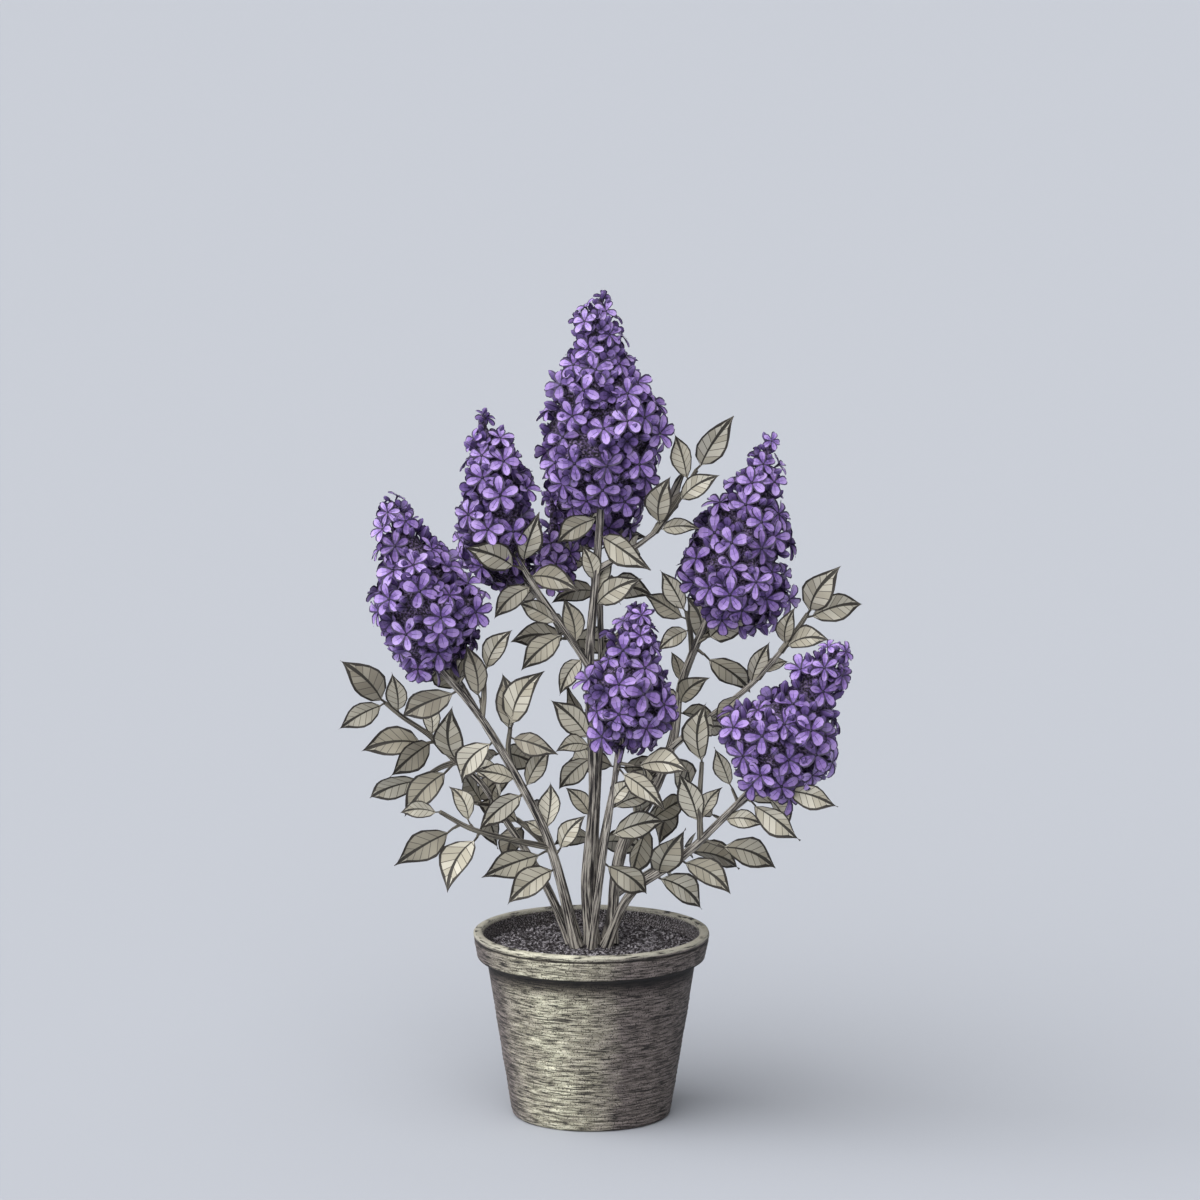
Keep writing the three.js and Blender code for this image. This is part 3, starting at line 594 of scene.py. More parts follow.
def limbTree():
    # sweeps a round section along each curve and raises bark ridges on it
    tree, given = newTree("grow_limbs", {
        "Sides": ("Int", 12), "Ring spacing": ("Float", 0.003), "Relief": ("Float", 0.001),
        "Material": ("Material", None)})
    rings = addNode(tree, "GeometryNodeResampleCurve", {
        "Curve": given["Geometry"], "Length": given["Ring spacing"]}, mode="LENGTH")
    walked = addNode(tree, "GeometryNodeSplineParameter")
    marked = addNode(tree, "GeometryNodeStoreNamedAttribute", {
        "Geometry": rings.outputs[0], "Name": "walked", "Value": walked.outputs["Length"]})
    circle = addNode(tree, "GeometryNodeCurvePrimitiveCircle", {"Resolution": given["Sides"], "Radius": 1.0})
    around = addNode(tree, "GeometryNodeStoreNamedAttribute", {
        "Geometry": circle.outputs[0], "Name": "section",
        "Value": addNode(tree, "GeometryNodeInputPosition").outputs[0]}, data_type="FLOAT_VECTOR")
    tube = addNode(tree, "GeometryNodeCurveToMesh", {
        "Curve": marked.outputs[0], "Profile Curve": around.outputs[0], "Fill Caps": True,
        "Scale": addNode(tree, "GeometryNodeInputRadius").outputs[0]})
    section = addNode(tree, "GeometryNodeInputNamedAttribute", {"Name": "section"}, data_type="FLOAT_VECTOR")
    length = addNode(tree, "GeometryNodeInputNamedAttribute", {"Name": "walked"})
    rise = addNode(tree, "ShaderNodeMath", {0: length.outputs[0], 1: bark["rise"]}, operation="MULTIPLY")
    upward = addNode(tree, "ShaderNodeCombineXYZ", {"Z": rise.outputs[0]})
    place = addNode(tree, "ShaderNodeVectorMath", {
        0: section.outputs[0], 1: upward.outputs[0]}, operation="ADD")
    kept = addNode(tree, "GeometryNodeStoreNamedAttribute", {
        "Geometry": tube.outputs[0], "Name": "barkPlace",
        "Value": place.outputs[0]}, data_type="FLOAT_VECTOR")
    ridges = addNode(tree, "ShaderNodeTexNoise", {
        "Vector": place.outputs[0], "Scale": bark["ridgeScale"], "Detail": 4.0, "Roughness": 0.6})
    centred = addNode(tree, "ShaderNodeMath", {0: ridges.outputs[0], 1: 0.5}, operation="SUBTRACT")
    height = addNode(tree, "ShaderNodeMath", {
        0: centred.outputs[0], 1: given["Relief"]}, operation="MULTIPLY")
    offset = addNode(tree, "ShaderNodeVectorMath", {
        0: addNode(tree, "GeometryNodeInputNormal").outputs[0],
        "Scale": height.outputs[0]}, operation="SCALE")
    raised = addNode(tree, "GeometryNodeSetPosition", {
        "Geometry": kept.outputs[0], "Offset": offset.outputs[0]})
    smooth = addNode(tree, "GeometryNodeSetShadeSmooth", {0: raised.outputs[0]})
    dressed = addNode(tree, "GeometryNodeSetMaterial", {
        "Geometry": smooth.outputs[0], "Material": given["Material"]})
    addNode(tree, "NodeGroupOutput", {0: dressed.outputs[0]})
    return tree


def barkMaterial(name, pale, middle, dark):
    # young lilac bark: dull grey-brown, split into fine lengthwise fissures with paler plates between them
    material, tree, shader = newMaterial(name, middle, 0.82)
    place = addNode(tree, "ShaderNodeAttribute", attribute_name="barkPlace").outputs["Vector"]
    stretched = addNode(tree, "ShaderNodeMapping", {
        "Vector": place, "Scale": bark["fissureScale"]}).outputs[0]
    fissures = addNode(tree, "ShaderNodeTexNoise", {
        "Vector": stretched, "Scale": 1, "Detail": 5, "Roughness": 0.6}).outputs["Fac"]
    flecks = addNode(tree, "ShaderNodeTexNoise", {
        "Vector": place, "Scale": bark["fleckScale"], "Detail": 2}).outputs["Fac"]
    plates = addNode(tree, "ShaderNodeValToRGB", {"Fac": fissures},
                     list(zip(bark["plates"], (dark, middle, pale)))).outputs["Color"]
    flecked = addNode(tree, "ShaderNodeValToRGB", {"Fac": flecks}, bark["fleckShares"]).outputs["Color"]
    speckled = addNode(tree, "ShaderNodeMix", {
        0: flecked, 6: plates, 7: linearColour(dark)}, data_type="RGBA").outputs[2]
    tree.links.new(speckled, shader.inputs["Base Color"])
    strength, depth = bark["fissureRelief"]
    bump = addNode(tree, "ShaderNodeBump", {"Height": fissures, "Strength": strength, "Distance": depth * mm})
    tree.links.new(bump.outputs[0], shader.inputs["Normal"])
    return material


oldBark = barkMaterial("bark_lilac_young_fissured", "#b1aba1", "#635d59", "#191617")
limbNodes = limbTree()
limbKinds = {
    "trunk_bark": [n for n in limbs if n == "trunk"],
    "stem_bark": [n for n in limbs if n.startswith("stem")],
    "bough_bark": [n for n in limbs if n.startswith("bough")],
}
for pieceName, members in limbKinds.items():
    curve = newCurve(pieceName)
    for name in members:
        path = limbPaths[name]
        shares = np.linspace(0, 1, int(path.length / bark["sample"]) + 2)
        addSpline(curve, [path.at(s) for s in shares], [limbRadius(name, s) for s in shares])
    piece = bakeNodes(pieceName, newObject(pieceName + "_lines", curve), limbNodes, {
        "Sides": bark["sides"], "Ring spacing": bark["ringSpacing"] * mm, "Relief": bark["relief"] * mm,
        "Material": oldBark})
    finishPiece(piece, members)
print("limbs grown")

# Foliage: each entry is a leafy shoot. It grows from a limb, at a height or from its end, to a tip of its
# own, or sits on the limb itself. A leaf is (place, direction, length, stalk): its place is a height on the
# limb or a share of the free shoot, its direction is in degrees clockwise from straight up, seen from the
# bearing that the blades face, and a stalk is given where it is a long one. Shoots that have pairs carry
# opposite leaves, turned from straight up by the first spread at their foot and by the last at their end,
# and all turned on by lean.
foliage = {
    "leaves_top_right": {"on": "bough_top_right", "via": [(85, -14, 630)], "tip": (105, -20, 664), "leaves": [
        (1, 34, 65), (0.8, -16, 52), (0.5, 58, 50), (0.05, 90, 42), (0.08, 13, 52)]},
    "leaves_top": {"on": "trunk", "leaves": [
        (615, -123, 52), (598, 127, 64), (547, -20, 41), (533, 28, 44), (524, 61, 56)]},
    "leaves_upper_left_low": {"on": "bough_upper_left", "leaves": [
        (507, -64, 47), (499, -132, 60), (482, -15, 52), (473, -151, 46)]},
    "leaves_upper_left": {"on": "bough_upper_left", "leaves": [
        (547, -133, 53), (556, 109, 55), (567, 20, 55), (561, -70, 56, 8)]},
    "leaves_far_left": {
        "on": "stem_far_left", "via": [(-164, 40, 383), (-194, 36, 405)], "tip": (-209, 30, 419), "leaves": [
            (1, -45, 62), (1, -120, 54), (0.8, -8, 44), (0.35, -15, 42), (0.3, -97, 66, 10),
            (0.34, -131, 58)]},
    "leaves_left_reach": {"on": "stem_far_left", "via": [(-154, 46, 349)], "tip": (-170, 52, 338), "leaves": [
        (0.02, -2, 58), (0.05, -138, 68, 8), (1, -112, 62)]},
    "leaves_head_left": {"on": "stem_left", "height": 418, "via": [(-107, -50, 440)], "tip": (-107, -52, 465),
                         "leaves": [(1, 34, 52), (0.2, -15, 58, 10)]},
    "leaves_left": {"on": "stem_left", "leaves": [(397, -144, 57), (448, -116, 64)]},
    "leaves_left_twig": {"on": "stem_left", "height": 366, "via": [(-83, -46, 386)], "tip": (-81, -48, 407),
                         "leaves": [(0.9, -7, 61), (1, 30, 68), (0.8, 110, 52)]},
    "leaves_inner_left": {"on": "stem_left", "leaves": [
        (297, 5, 52), (342, -131, 60), (344, 34, 49), (354, -78, 44)]},
    "leaves_low_left": {"on": "stem_left", "height": 282, "via": [(-86, -52, 296), (-121, -78, 312)],
                        "tip": (-150, -95, 332), "leaves": [
                            (0.8, -122, 70, 8), (0.62, -152, 62, 5), (0.68, -30, 44, 6), (1, -92, 40)]},
    "leaves_foot_left": {"on": "stem_left", "leaves": [
        (261, -127, 62), (272, 37, 46, 8), (280, -112, 70, 6), (292, -54, 30)]},
    "leaves_centre": {"on": "trunk", "leaves": [
        (306, -42, 42), (371, -136, 50), (380, -98, 38), (385, -45, 60)]},
    "leaves_front": {"on": "stem_front", "leaves": [
        (276, 128, 56), (306, 77, 60), (337, 78, 45), (340, 43, 36)]},
    "leaves_head_front": {"on": "stem_front", "leaves": [(382, 132, 60, 4), (386, 97, 54, 18)]},
    "leaves_right_twig": {"on": "stem_right", "height": 470, "via": [(100, 34, 493)], "tip": (96, 28, 513),
                          "leaves": [(0.56, -125, 40), (0.78, -59, 52), (0.95, -31, 52)]},
    "leaves_right": {"on": "stem_right", "leaves": [
        (416, 49, 42), (437, -17, 34), (476, 129, 62, 12), (479, 58, 58, 12)]},
    "leaves_right_reach": {"on": "bough_upper_right", "leaves": [
        (434, -138, 40), (441, 24, 50), (455, 67, 30)]},
    "leaves_far_right": {
        "on": "bough_upper_right", "via": [(209, -12, 505)], "tip": (217, -14, 518), "leaves": [
            (1, 33, 57), (0.9, 77, 60), (0.13, 14, 41), (0.13, 82, 45)]},
    "leaves_right_middle": {
        "on": "stem_low_right", "height": 297, "via": [(108, -80, 341)], "tip": (110, -84, 380),
        "leaves": [(0.95, 4, 65), (0.21, -22, 58), (0.24, 33, 42)]},
    "leaves_low_right": {"on": "stem_low_right", "leaves": [
        (299, 113, 64, 16), (321, 98, 42), (338, -23, 46, 16), (345, 129, 62, 8), (362, 109, 54, 26)]},
    "leaves_foot_right": {"on": "stem_low_right", "leaves": [(257, 128, 60), (258, 31, 56), (276, 125, 62)]},
    "leaves_back_top": {"on": "stem_back", "facing": 90, "span": (520, 562), "pairs": 2, "spread": (104, 76)},
    "leaves_back_upper_left": {"on": "bough_back_upper_left", "facing": 120, "span": (470, 520), "pairs": 2,
                               "spread": (100, 62)},
    "leaves_back_upper_right": {"on": "stem_back_right", "facing": 50, "span": (395, 470), "pairs": 2,
                                "spread": (106, 64)},
    "leaves_back_left": {"on": "stem_back_left", "facing": 150, "span": (355, 420), "pairs": 2,
                         "spread": (110, 66)},
    "leaves_back_right": {"on": "bough_back_right", "facing": 30, "span": (255, 305), "pairs": 2,
                          "spread": (110, 70)},
    "leaves_back": {"on": "bough_back_low", "facing": 92, "span": (262, 330), "pairs": 2,
                    "spread": (112, 96)},
    "leaves_back_low_left": {"on": "stem_back_left", "height": 262, "tip": (-122, 128, 296), "facing": 125,
                             "span": (0.4, 0.85), "pairs": 2, "spread": (120, 100), "lean": -60},
    "leaves_back_low_right": {"on": "stem_back_right", "height": 262, "tip": (96, 148, 296), "facing": 50,
                              "span": (0.4, 0.85), "pairs": 2, "spread": (120, 100), "lean": 60},
}
# A leaf's lengths are shares of its own, its widths of veins and margin millimetres on one of the usual
# length. A pair of values is a range from which each shape takes its own: fold is in degrees and phase in
# radians.
leaf = {
    "length": 56, "sizeSpread": 0.08, "stray": 12, "outward": (-0.4, 0.65), "rise": 0.16, "stalk": 0.1,
    "halfWidth": 0.235, "veins": 6, "veinSpan": (0.05, 0.73), "tipLines": [0.83, 0.92, 1.0],
    "veinWidth": 0.8, "midribWidth": 2.2, "marginWidth": 1.9, "shapes": 10, "roll": 28, "tilt": 0.2,
    "arch": (0.04, 0.12), "fold": (12, 28), "twist": (-0.3, 0.3), "bow": (0.05, 0.12), "skew": (-0.1, 0.1),
    "width": (0.93, 1.07), "wave": (0.02, 0.04), "phase": (0, 6), "stalkRadii": (1.3, 1.1, 0.4),
    "stalkRunsOn": 0.08, "stalkBelow": 0.006, "shootTones": 3, "ownTone": 0.5, "nextTone": 0.9,
}
twig = {
    "sides": 8, "relief": 0.4, "radii": (3.4, 2.2), "stalkRadii": (2.2, 1.7, 1.4), "from": 0.985,
    "arch": 0.08,
}
frontBearing = 270


def leafList(shoot, roll):
    # the leaves of a shoot as (place, direction, length, stalk): those listed, or opposite pairs
    if "leaves" in shoot:
        return shoot["leaves"]
    found, pairs = [], shoot["pairs"]
    for i in range(pairs):
        step = i / (pairs - 1)
        for side in (-1, 1):
            turn = shoot.get("lean", 0) + side * lerp(*shoot["spread"], step)
            turn += (next(roll) - 0.5) * leaf["stray"]
            length = leaf["length"] * (1 + (next(roll) - 0.5) * 2 * leaf["sizeSpread"])
            found.append((lerp(*shoot["span"], step), turn, length))
    if "tip" in shoot:
        found.append((1, shoot["lean"], leaf["length"]))
    return found


def freeShoot(shoot):
    # a shoot's own path, from its limb to its tip; one with no points given on the way arches upwards
    limb = limbPaths[shoot["on"]]
    start = limb.at(limb.shareAtHeight(shoot["height"]) if "height" in shoot else twig["from"])
    end = np.array(shoot["tip"], float)
    middle = (start + end) / 2 + np.array([0, 0, np.linalg.norm(end - start) * twig["arch"]])
    return Path([start, *shoot.get("via", [middle]), end])


def shootLeaves(name):
    # where each leaf of a shoot sits, which way it points and where its upper side looks
    shoot, roll, limb = foliage[name], dice(name), limbPaths[foliage[name]["on"]]
    bearing = math.radians(shoot.get("facing", frontBearing))
    facing = np.array([math.cos(bearing), math.sin(bearing), 0])
    rightward = np.cross([0, 0, 1], facing)
    path, places = freeShoot(shoot) if "tip" in shoot else None, []
    for place, direction, length, *stalk in leafList(shoot, roll):
        turn, lean = math.radians(direction), lerp(*leaf["outward"], next(roll))
        aim = rightward * math.sin(turn) + facing * lean
        aim[2] += math.cos(turn) + leaf["rise"] * lean
        stretch = np.linalg.norm(aim)  # the length given is what shows from the side that it faces
        point = path.at(place) if path else limb.at(limb.shareAtHeight(place))
        face = turned(facing, aim / stretch, math.radians(lerp(-leaf["roll"], leaf["roll"], next(roll))))
        places.append({"point": point, "aim": aim / stretch, "face": face, "length": length * stretch,
                       "stalk": sum(stalk) * stretch})
    return path, places


def leafOutline(t):
    # half the blade's width, as a share of the widest: full near the stalk, drawn out to a point
    return math.sin(math.pi * t ** 0.86) ** (0.78 + 0.6 * t) if 0 < t < 1 else 0.0


def leafShape(name, roll, bowed):
    # one leaf, 1 mm from the foot of its stalk to its tip, along +Y with its upper side to +Z, bowed to the
    # side that the sign of bowed gives. Parts: 0 and 1 blade, 2 vein, 3 midrib, 4 margin, 5 stalk
    arch, fold, twist, bow, skew, width, wave, phase = [lerp(*leaf[key], next(roll)) for key in (
        "arch", "fold", "twist", "bow", "skew", "width", "wave", "phase")]
    half, bow, crease = leaf["halfWidth"] * width, bow * bowed, math.tan(math.radians(fold))
    stalk, size, veinHalf = leaf["stalk"], leaf["length"], leaf["veinWidth"] / 2 / leaf["length"]
    lines, kinds = [0.0], []  # lines over the blade, and what lies between each and the next
    for k in range(leaf["veins"]):
        start = lerp(*leaf["veinSpan"], k / (leaf["veins"] - 1))
        lines += [start - veinHalf, start + veinHalf]
        kinds += [int(next(roll) * 2), 2]
    lines += leaf["tipLines"]
    kinds += [0, 1, 0]
    vertices, faces, parts = [], [], []

    def place(t, across):
        # across runs from -1 to 1 over the blade's width at t
        x = across * half * leafOutline(t) * (1 + skew * (1 if across > 0 else -1))
        y = stalk + (1 - stalk) * t
        z = arch * 4 * y * (1 - y) + abs(x) * crease * (1 - 0.5 * t)
        z += wave * math.sin(9 * t + phase + (2 if across > 0 else 0)) * across * across
        turn = twist * (t - 0.4)
        return np.array([x * math.cos(turn) + bow * 4 * t * (1 - t), y, z + x * math.sin(turn)]) * mm

    for side in (-1, 1):
        grid = []
        for t in lines:
            sweep = 0.5 * t ** 0.5 * (1 - t) ** 0.8
            reach = max(half * leafOutline(min(1, t + sweep)) * size, 0.01)
            midrib = min(0.45, leaf["midribWidth"] / 2 / reach * (1 - 0.6 * t))
            margin = 1 - min(0.5, leaf["marginWidth"] / reach)
            grid.append([])
            for s in (0, midrib, margin, 1):
                grid[-1].append(len(vertices))
                vertices.append(place(min(1, t + sweep * s ** 1.3), side * s))
        for i, kind in enumerate(kinds):
            for column in range(3):
                face = (grid[i][column], grid[i][column + 1], grid[i + 1][column + 1], grid[i + 1][column])
                faces.append(face if side > 0 else face[::-1])
                parts.append((3, kind, 4)[column])
    rings, sides = [], 3
    for y, radius in zip((0.0, stalk, stalk + leaf["stalkRunsOn"]), leaf["stalkRadii"]):
        rings.append([len(vertices) + k for k in range(sides)])
        for k in range(sides):
            turn = 2 * math.pi * k / sides + math.pi / 2
            x, z = radius / size * math.cos(turn), radius / size * math.sin(turn)
            vertices.append(np.array([x, y, z + arch * 4 * y * (1 - y) - leaf["stalkBelow"]]) * mm)
    for low, high in zip(rings, rings[1:]):
        for k in range(sides):
            faces.append((low[k], high[k], high[(k + 1) % sides], low[(k + 1) % sides]))
            parts.append(5)
    return partedMesh(name, vertices, faces, parts)


def partedMesh(name, vertices, faces, parts):
    # a shape for a node tree, with each face's part kept as a number
    mesh = newMesh(name, vertices, faces)
    mesh.attributes.new("part", "INT", "FACE").data.foreach_set("value", parts)
    return mesh


# what each place carries for its shape: the way it points, the way its face looks, its size, shape and tone
placeKinds = {"aim": "FLOAT_VECTOR", "face": "FLOAT_VECTOR", "size": "FLOAT", "shape": "INT", "tone": "INT"}


def placePoints(name, places):
    # a mesh of loose points that carries what placeKinds lists
    mesh = bpy.data.meshes.new(name)
    mesh.from_pydata([tuple(p["point"] * mm) for p in places], [], [])
    for label, kind in placeKinds.items():
        values = np.array([p[label] for p in places]).ravel()
        key = "vector" if kind == "FLOAT_VECTOR" else "value"
        mesh.attributes.new(label, kind, "POINT").data.foreach_set(key, values)
    return newObject(name, mesh)


def placedTree(name, dressings):
    # puts a shape on each point, turned to the point's aim and face, and gives each part and tone its
    # material; dressings are (part, tone, material), with None for a part that has one material in every
    # tone
    tree, given = newTree(name, {"Shapes": ("Collection", None)})
    read = {label: addNode(tree, "GeometryNodeInputNamedAttribute", {
        "Name": label}, data_type=kind).outputs[0] for label, kind in {**placeKinds, "part": "INT"}.items()}
    shapes = addNode(tree, "GeometryNodeCollectionInfo", {
        "Collection": given["Shapes"], "Separate Children": True, "Reset Children": True})
    turn = addNode(tree, "FunctionNodeAxesToRotation", {
        0: read["aim"], 1: read["face"]}, primary_axis="Y", secondary_axis="Z")
    placed = addNode(tree, "GeometryNodeInstanceOnPoints", {
        "Points": given["Geometry"], "Instance": shapes.outputs[0], "Pick Instance": True,
        "Instance Index": read["shape"], "Rotation": turn.outputs[0], "Scale": read["size"]})
    dressed = addNode(tree, "GeometryNodeRealizeInstances", {0: placed.outputs[0]}).outputs[0]
    for part, tone, material in dressings:
        tests = [addNode(tree, "FunctionNodeCompare", {
            2: read[label], 3: number}, data_type="INT", operation="EQUAL").outputs[0]
                 for label, number in (("part", part), ("tone", tone)) if number is not None]
        if len(tests) > 1:
            both = addNode(tree, "FunctionNodeBooleanMath", dict(enumerate(tests)), operation="AND")
            tests = [both.outputs[0]]
        dressed = addNode(tree, "GeometryNodeSetMaterial", {
            "Geometry": dressed, "Selection": tests[0], "Material": material}).outputs[0]
    addNode(tree, "NodeGroupOutput", {0: dressed})
    return tree


# lilac leaf: a dull, slightly dusty upper side that scatters light, with darker sunken veins and a browned
# margin. Each tone is a pair of blade colours, dealt out to the strips between the veins; the last is the
# darkest.
leafTones = [("#b6b1a2", "#a19b8b"), ("#aaa596", "#979181"), ("#beb9aa", "#aaa493"), ("#a8a394", "#958f7f"),
             ("#989283", "#867f70")]
leafDressings = []
for k, colours in enumerate(leafTones):
    for part, colour in enumerate(colours):
        blade = newMaterial(f"leaf_blade_matt_{part}_{k}", colour, 0.62, Sheen_Weight=0.1)[0]
        leafDressings.append((part, k, blade))
leafDressings += [
    (2, None, newMaterial("leaf_vein_sunken", "#5e584f", 0.7)[0]),
    (3, None, newMaterial("leaf_midrib_dark", "#332f29", 0.7)[0]),
    (4, None, newMaterial("leaf_margin_browned", "#2f2a25", 0.7)[0]),
    (5, None, newMaterial("leaf_stalk_dull", "#48433b", 0.7)[0]),
]
twigBark = barkMaterial("bark_twig_green_grey", "#8b8578", "#544f48", "#25221f")


def growFoliage(shoots, replaced, leafPieceName, twigPieceName):
    # shoots are name: (path, leaves), with no path where the leaves stand on a limb
    twigs, places, darkest = newCurve(twigPieceName), [], len(leafTones) - 1
    for name, (path, found) in shoots.items():
        roll = dice(name + " looks")
        tone = int(next(roll) * leaf["shootTones"])
        if path:
            shares = np.linspace(0, 1, int(path.length / bark["sample"]) + 2)
            addSpline(twigs, [path.at(s) for s in shares], [lerp(*twig["radii"], s) for s in shares])
        for place in found:
            point, aim, stalk = place["point"], place["aim"], place["stalk"]
            if stalk:
                addSpline(twigs, [point + aim * stalk * s for s in (0, 0.5, 1)], twig["stalkRadii"])
            face = place["face"] + np.array([next(roll) - 0.5 for _ in range(3)]) * leaf["tilt"]
            shift, side = next(roll), int(np.cross(aim, face)[2] > 0)
            other = (tone + 1) % darkest if shift < leaf["nextTone"] else darkest
            places.append({
                "point": point + aim * stalk, "aim": aim, "face": unit(face), "size": place["length"],
                "shape": 2 * int(next(roll) * leaf["shapes"] / 2) + side,
                "tone": tone if shift < leaf["ownTone"] else other})
    points = placePoints(leafPieceName + "_points", places)
    leaves = bakeNodes(leafPieceName, points, leafNodes, {"Shapes": leafShapes})
    finishPiece(leaves, replaced)
    twigPiece = bakeNodes(twigPieceName, newObject(twigPieceName + "_lines", twigs), limbNodes, {
        "Sides": twig["sides"], "Ring spacing": bark["ringSpacing"] * mm, "Relief": twig["relief"] * mm,
        "Material": twigBark})
    finishPiece(twigPiece, [])


leafShapes = bpy.data.collections.new("leaf_shapes")  # instanced only, so it is never linked to the scene
shapeRoll = dice("leaf shapes")
for k in range(leaf["shapes"]):
    bowed = 1 if k % 2 else -1
    newObject(f"leaf_shape_{k}", leafShape(f"leaf_shape_{k}", shapeRoll, bowed), leafShapes)
leafNodes = placedTree("set_leaves", leafDressings)
shoots = {name: shootLeaves(name) for name in foliage}
frontShoots = {name: shoot for name, shoot in shoots.items() if "back" not in name}
backShoots = {name: shoot for name, shoot in shoots.items() if "back" in name}
growFoliage(frontShoots, list(frontShoots), "leaves_front_side", "twigs_front_side")
growFoliage(backShoots, list(backShoots), "leaves_back_side", "twigs_back_side")
print("leaves set")

# Flower heads: tapering clusters along an axis from a base to a top. left and right are how far the florets
# reach to either side of it, at nine places from the foot to the tip. radius gives an even head its fullest
# width.
heads = {
    "head_top": {
        "base": (11, 0, 612), "top": (10, 0, 839),
        "left": [8, 45, 66, 62, 60, 52, 32, 26, 9], "right": [40, 48, 58, 60, 62, 42, 30, 21, 9]},
    "head_upper_left": {
        "base": (-80, 0, 558), "top": (-109, 0, 722),
        "left": [0, 34, 52, 46, 40, 31, 28, 17, 9], "right": [8, 22, 28, 32, 40, 31, 30, 13, 9]},
    "head_small_left": {"base": (-34, 58, 534), "top": (-41, 62, 628), "radius": 23},
    "head_left": {
        "base": (-155, -62, 456), "top": (-201, -62, 645),
        "left": [22, 28, 42, 38, 41, 28, 26, 16, 9], "right": [10, 18, 50, 78, 64, 50, 30, 24, 9]},
    "head_upper_right": {
        "base": (126, 12, 496), "top": (179, 12, 696),
        "left": [0, 30, 56, 52, 51, 36, 28, 14, 9], "right": [30, 56, 61, 47, 49, 38, 29, 19, 9]},
    "head_front": {
        "base": (28, -128, 392), "top": (47, -128, 548),
        "left": [5, 31, 36, 49, 50, 27, 33, 17, 9], "right": [2, 12, 50, 51, 36, 33, 24, 19, 9]},
    "head_right": {
        "base": (170, -86, 346), "top": (246, -86, 499),
        "left": [5, 40, 70, 68, 55, 35, 30, 21, 9], "right": [30, 33, 39, 50, 40, 34, 28, 20, 9]},
    "head_back_top": {"base": (6, 125, 566), "top": (6, 128, 768), "radius": 57},
    "head_back_upper_left": {"base": (-82, 126, 519), "top": (-107, 128, 674), "radius": 46},
    "head_back_upper_right": {"base": (128, 120, 497), "top": (170, 122, 648), "radius": 46},
    "head_back_left": {"base": (-148, 100, 434), "top": (-194, 104, 579), "radius": 47},
    "head_back_right": {"base": (188, 95, 316), "top": (238, 98, 443), "radius": 45},
    "head_back_front": {"base": (36, 166, 346), "top": (56, 168, 490), "radius": 45},
}
evenHead = [0.4, 0.8, 1, 0.95, 0.84, 0.68, 0.5, 0.32, 0.18]  # an even head's reach, in shares of its radius

# Open florets and the fillers between them. span is the stretch of a head that carries them, spacing, sunk
# and reach are shares of a floret's width, and the clear distances are to the leaves.
floret = {
    "across": 35, "tipAcross": 20, "smallerFrom": 0.62, "smallerPower": 1.3, "smallHead": 0.66,
    "fullHead": 45, "span": (0.06, 0.98), "tries": 2600, "spacing": 0.7, "fillerSpacing": 0.36,
    "sunk": (0.14, 0.26), "fillerSunk": 0.4, "reach": (0.25, 0.5), "fillerReach": (0.2, 0.4),
    "leafClear": 7, "budClear": 4.5, "rising": (0.15, 0.65), "toLight": 0.75, "lightFrom": 0.45,
    "wobble": 0.4, "size": (0.94, 1.08), "fillerSize": 0.8, "toneShares": (0.4, 0.72, 0.9), "openShapes": 5,
    "fillerShapes": 3, "depth": 0.95, "lump": 0.28, "lumpSize": 36, "leastReach": 0.8,
}


def headSurface(name, share, turn, shrink=0.0):
    # a point on a head's outside; turn runs from 0 on the right to pi on the left
    head = heads[name]
    base, top = np.array(head["base"], float), np.array(head["top"], float)
    rightward = unit(np.array([top[2] - base[2], 0, base[0] - top[0]]))
    backward = unit(np.cross(top - base, rightward))
    steps = np.linspace(0, 1, len(evenHead))
    if "radius" in head:
        reach = head["radius"] * np.interp(share, steps, evenHead)
    else:
        left, right = [np.interp(share, steps, head[side]) for side in ("left", "right")]
        reach = lerp(left, right, (1 + math.cos(turn)) / 2) * lerp(floret["depth"], 1, abs(math.cos(turn)))
    middle, outward = base + (top - base) * share, rightward * math.cos(turn) + backward * math.sin(turn)
    reach *= 1 + floret["lump"] * noise.noise(Vector(middle + outward * reach) / floret["lumpSize"])
    return middle + outward * max(reach - shrink, floret["leastReach"])


def headNormal(name, share, turn):
    low, high = max(0, share - 0.05), min(1, share + 0.05)
    rising = headSurface(name, high, turn) - headSurface(name, low, turn)
    around = headSurface(name, share, turn + 0.1) - headSurface(name, share, turn - 0.1)
    return unit(np.cross(around, rising))


def bladePoints():
    # points all over the outer leaves, for the petals to keep clear of
    spots = []
    for place in [place for _, found in shoots.values() for place in found]:
        sideways = unit(np.cross(place["aim"], place["face"]))
        for t in (0.15, 0.35, 0.55, 0.75, 0.95):
            middle = place["point"] + place["aim"] * (place["stalk"] + place["length"] * t)
            half = leafOutline(t) * leaf["halfWidth"] * place["length"]
            spots += [middle + sideways * half * side for side in (-0.7, 0, 0.7)]
    return np.array(spots)


bladeSpots = bladePoints()


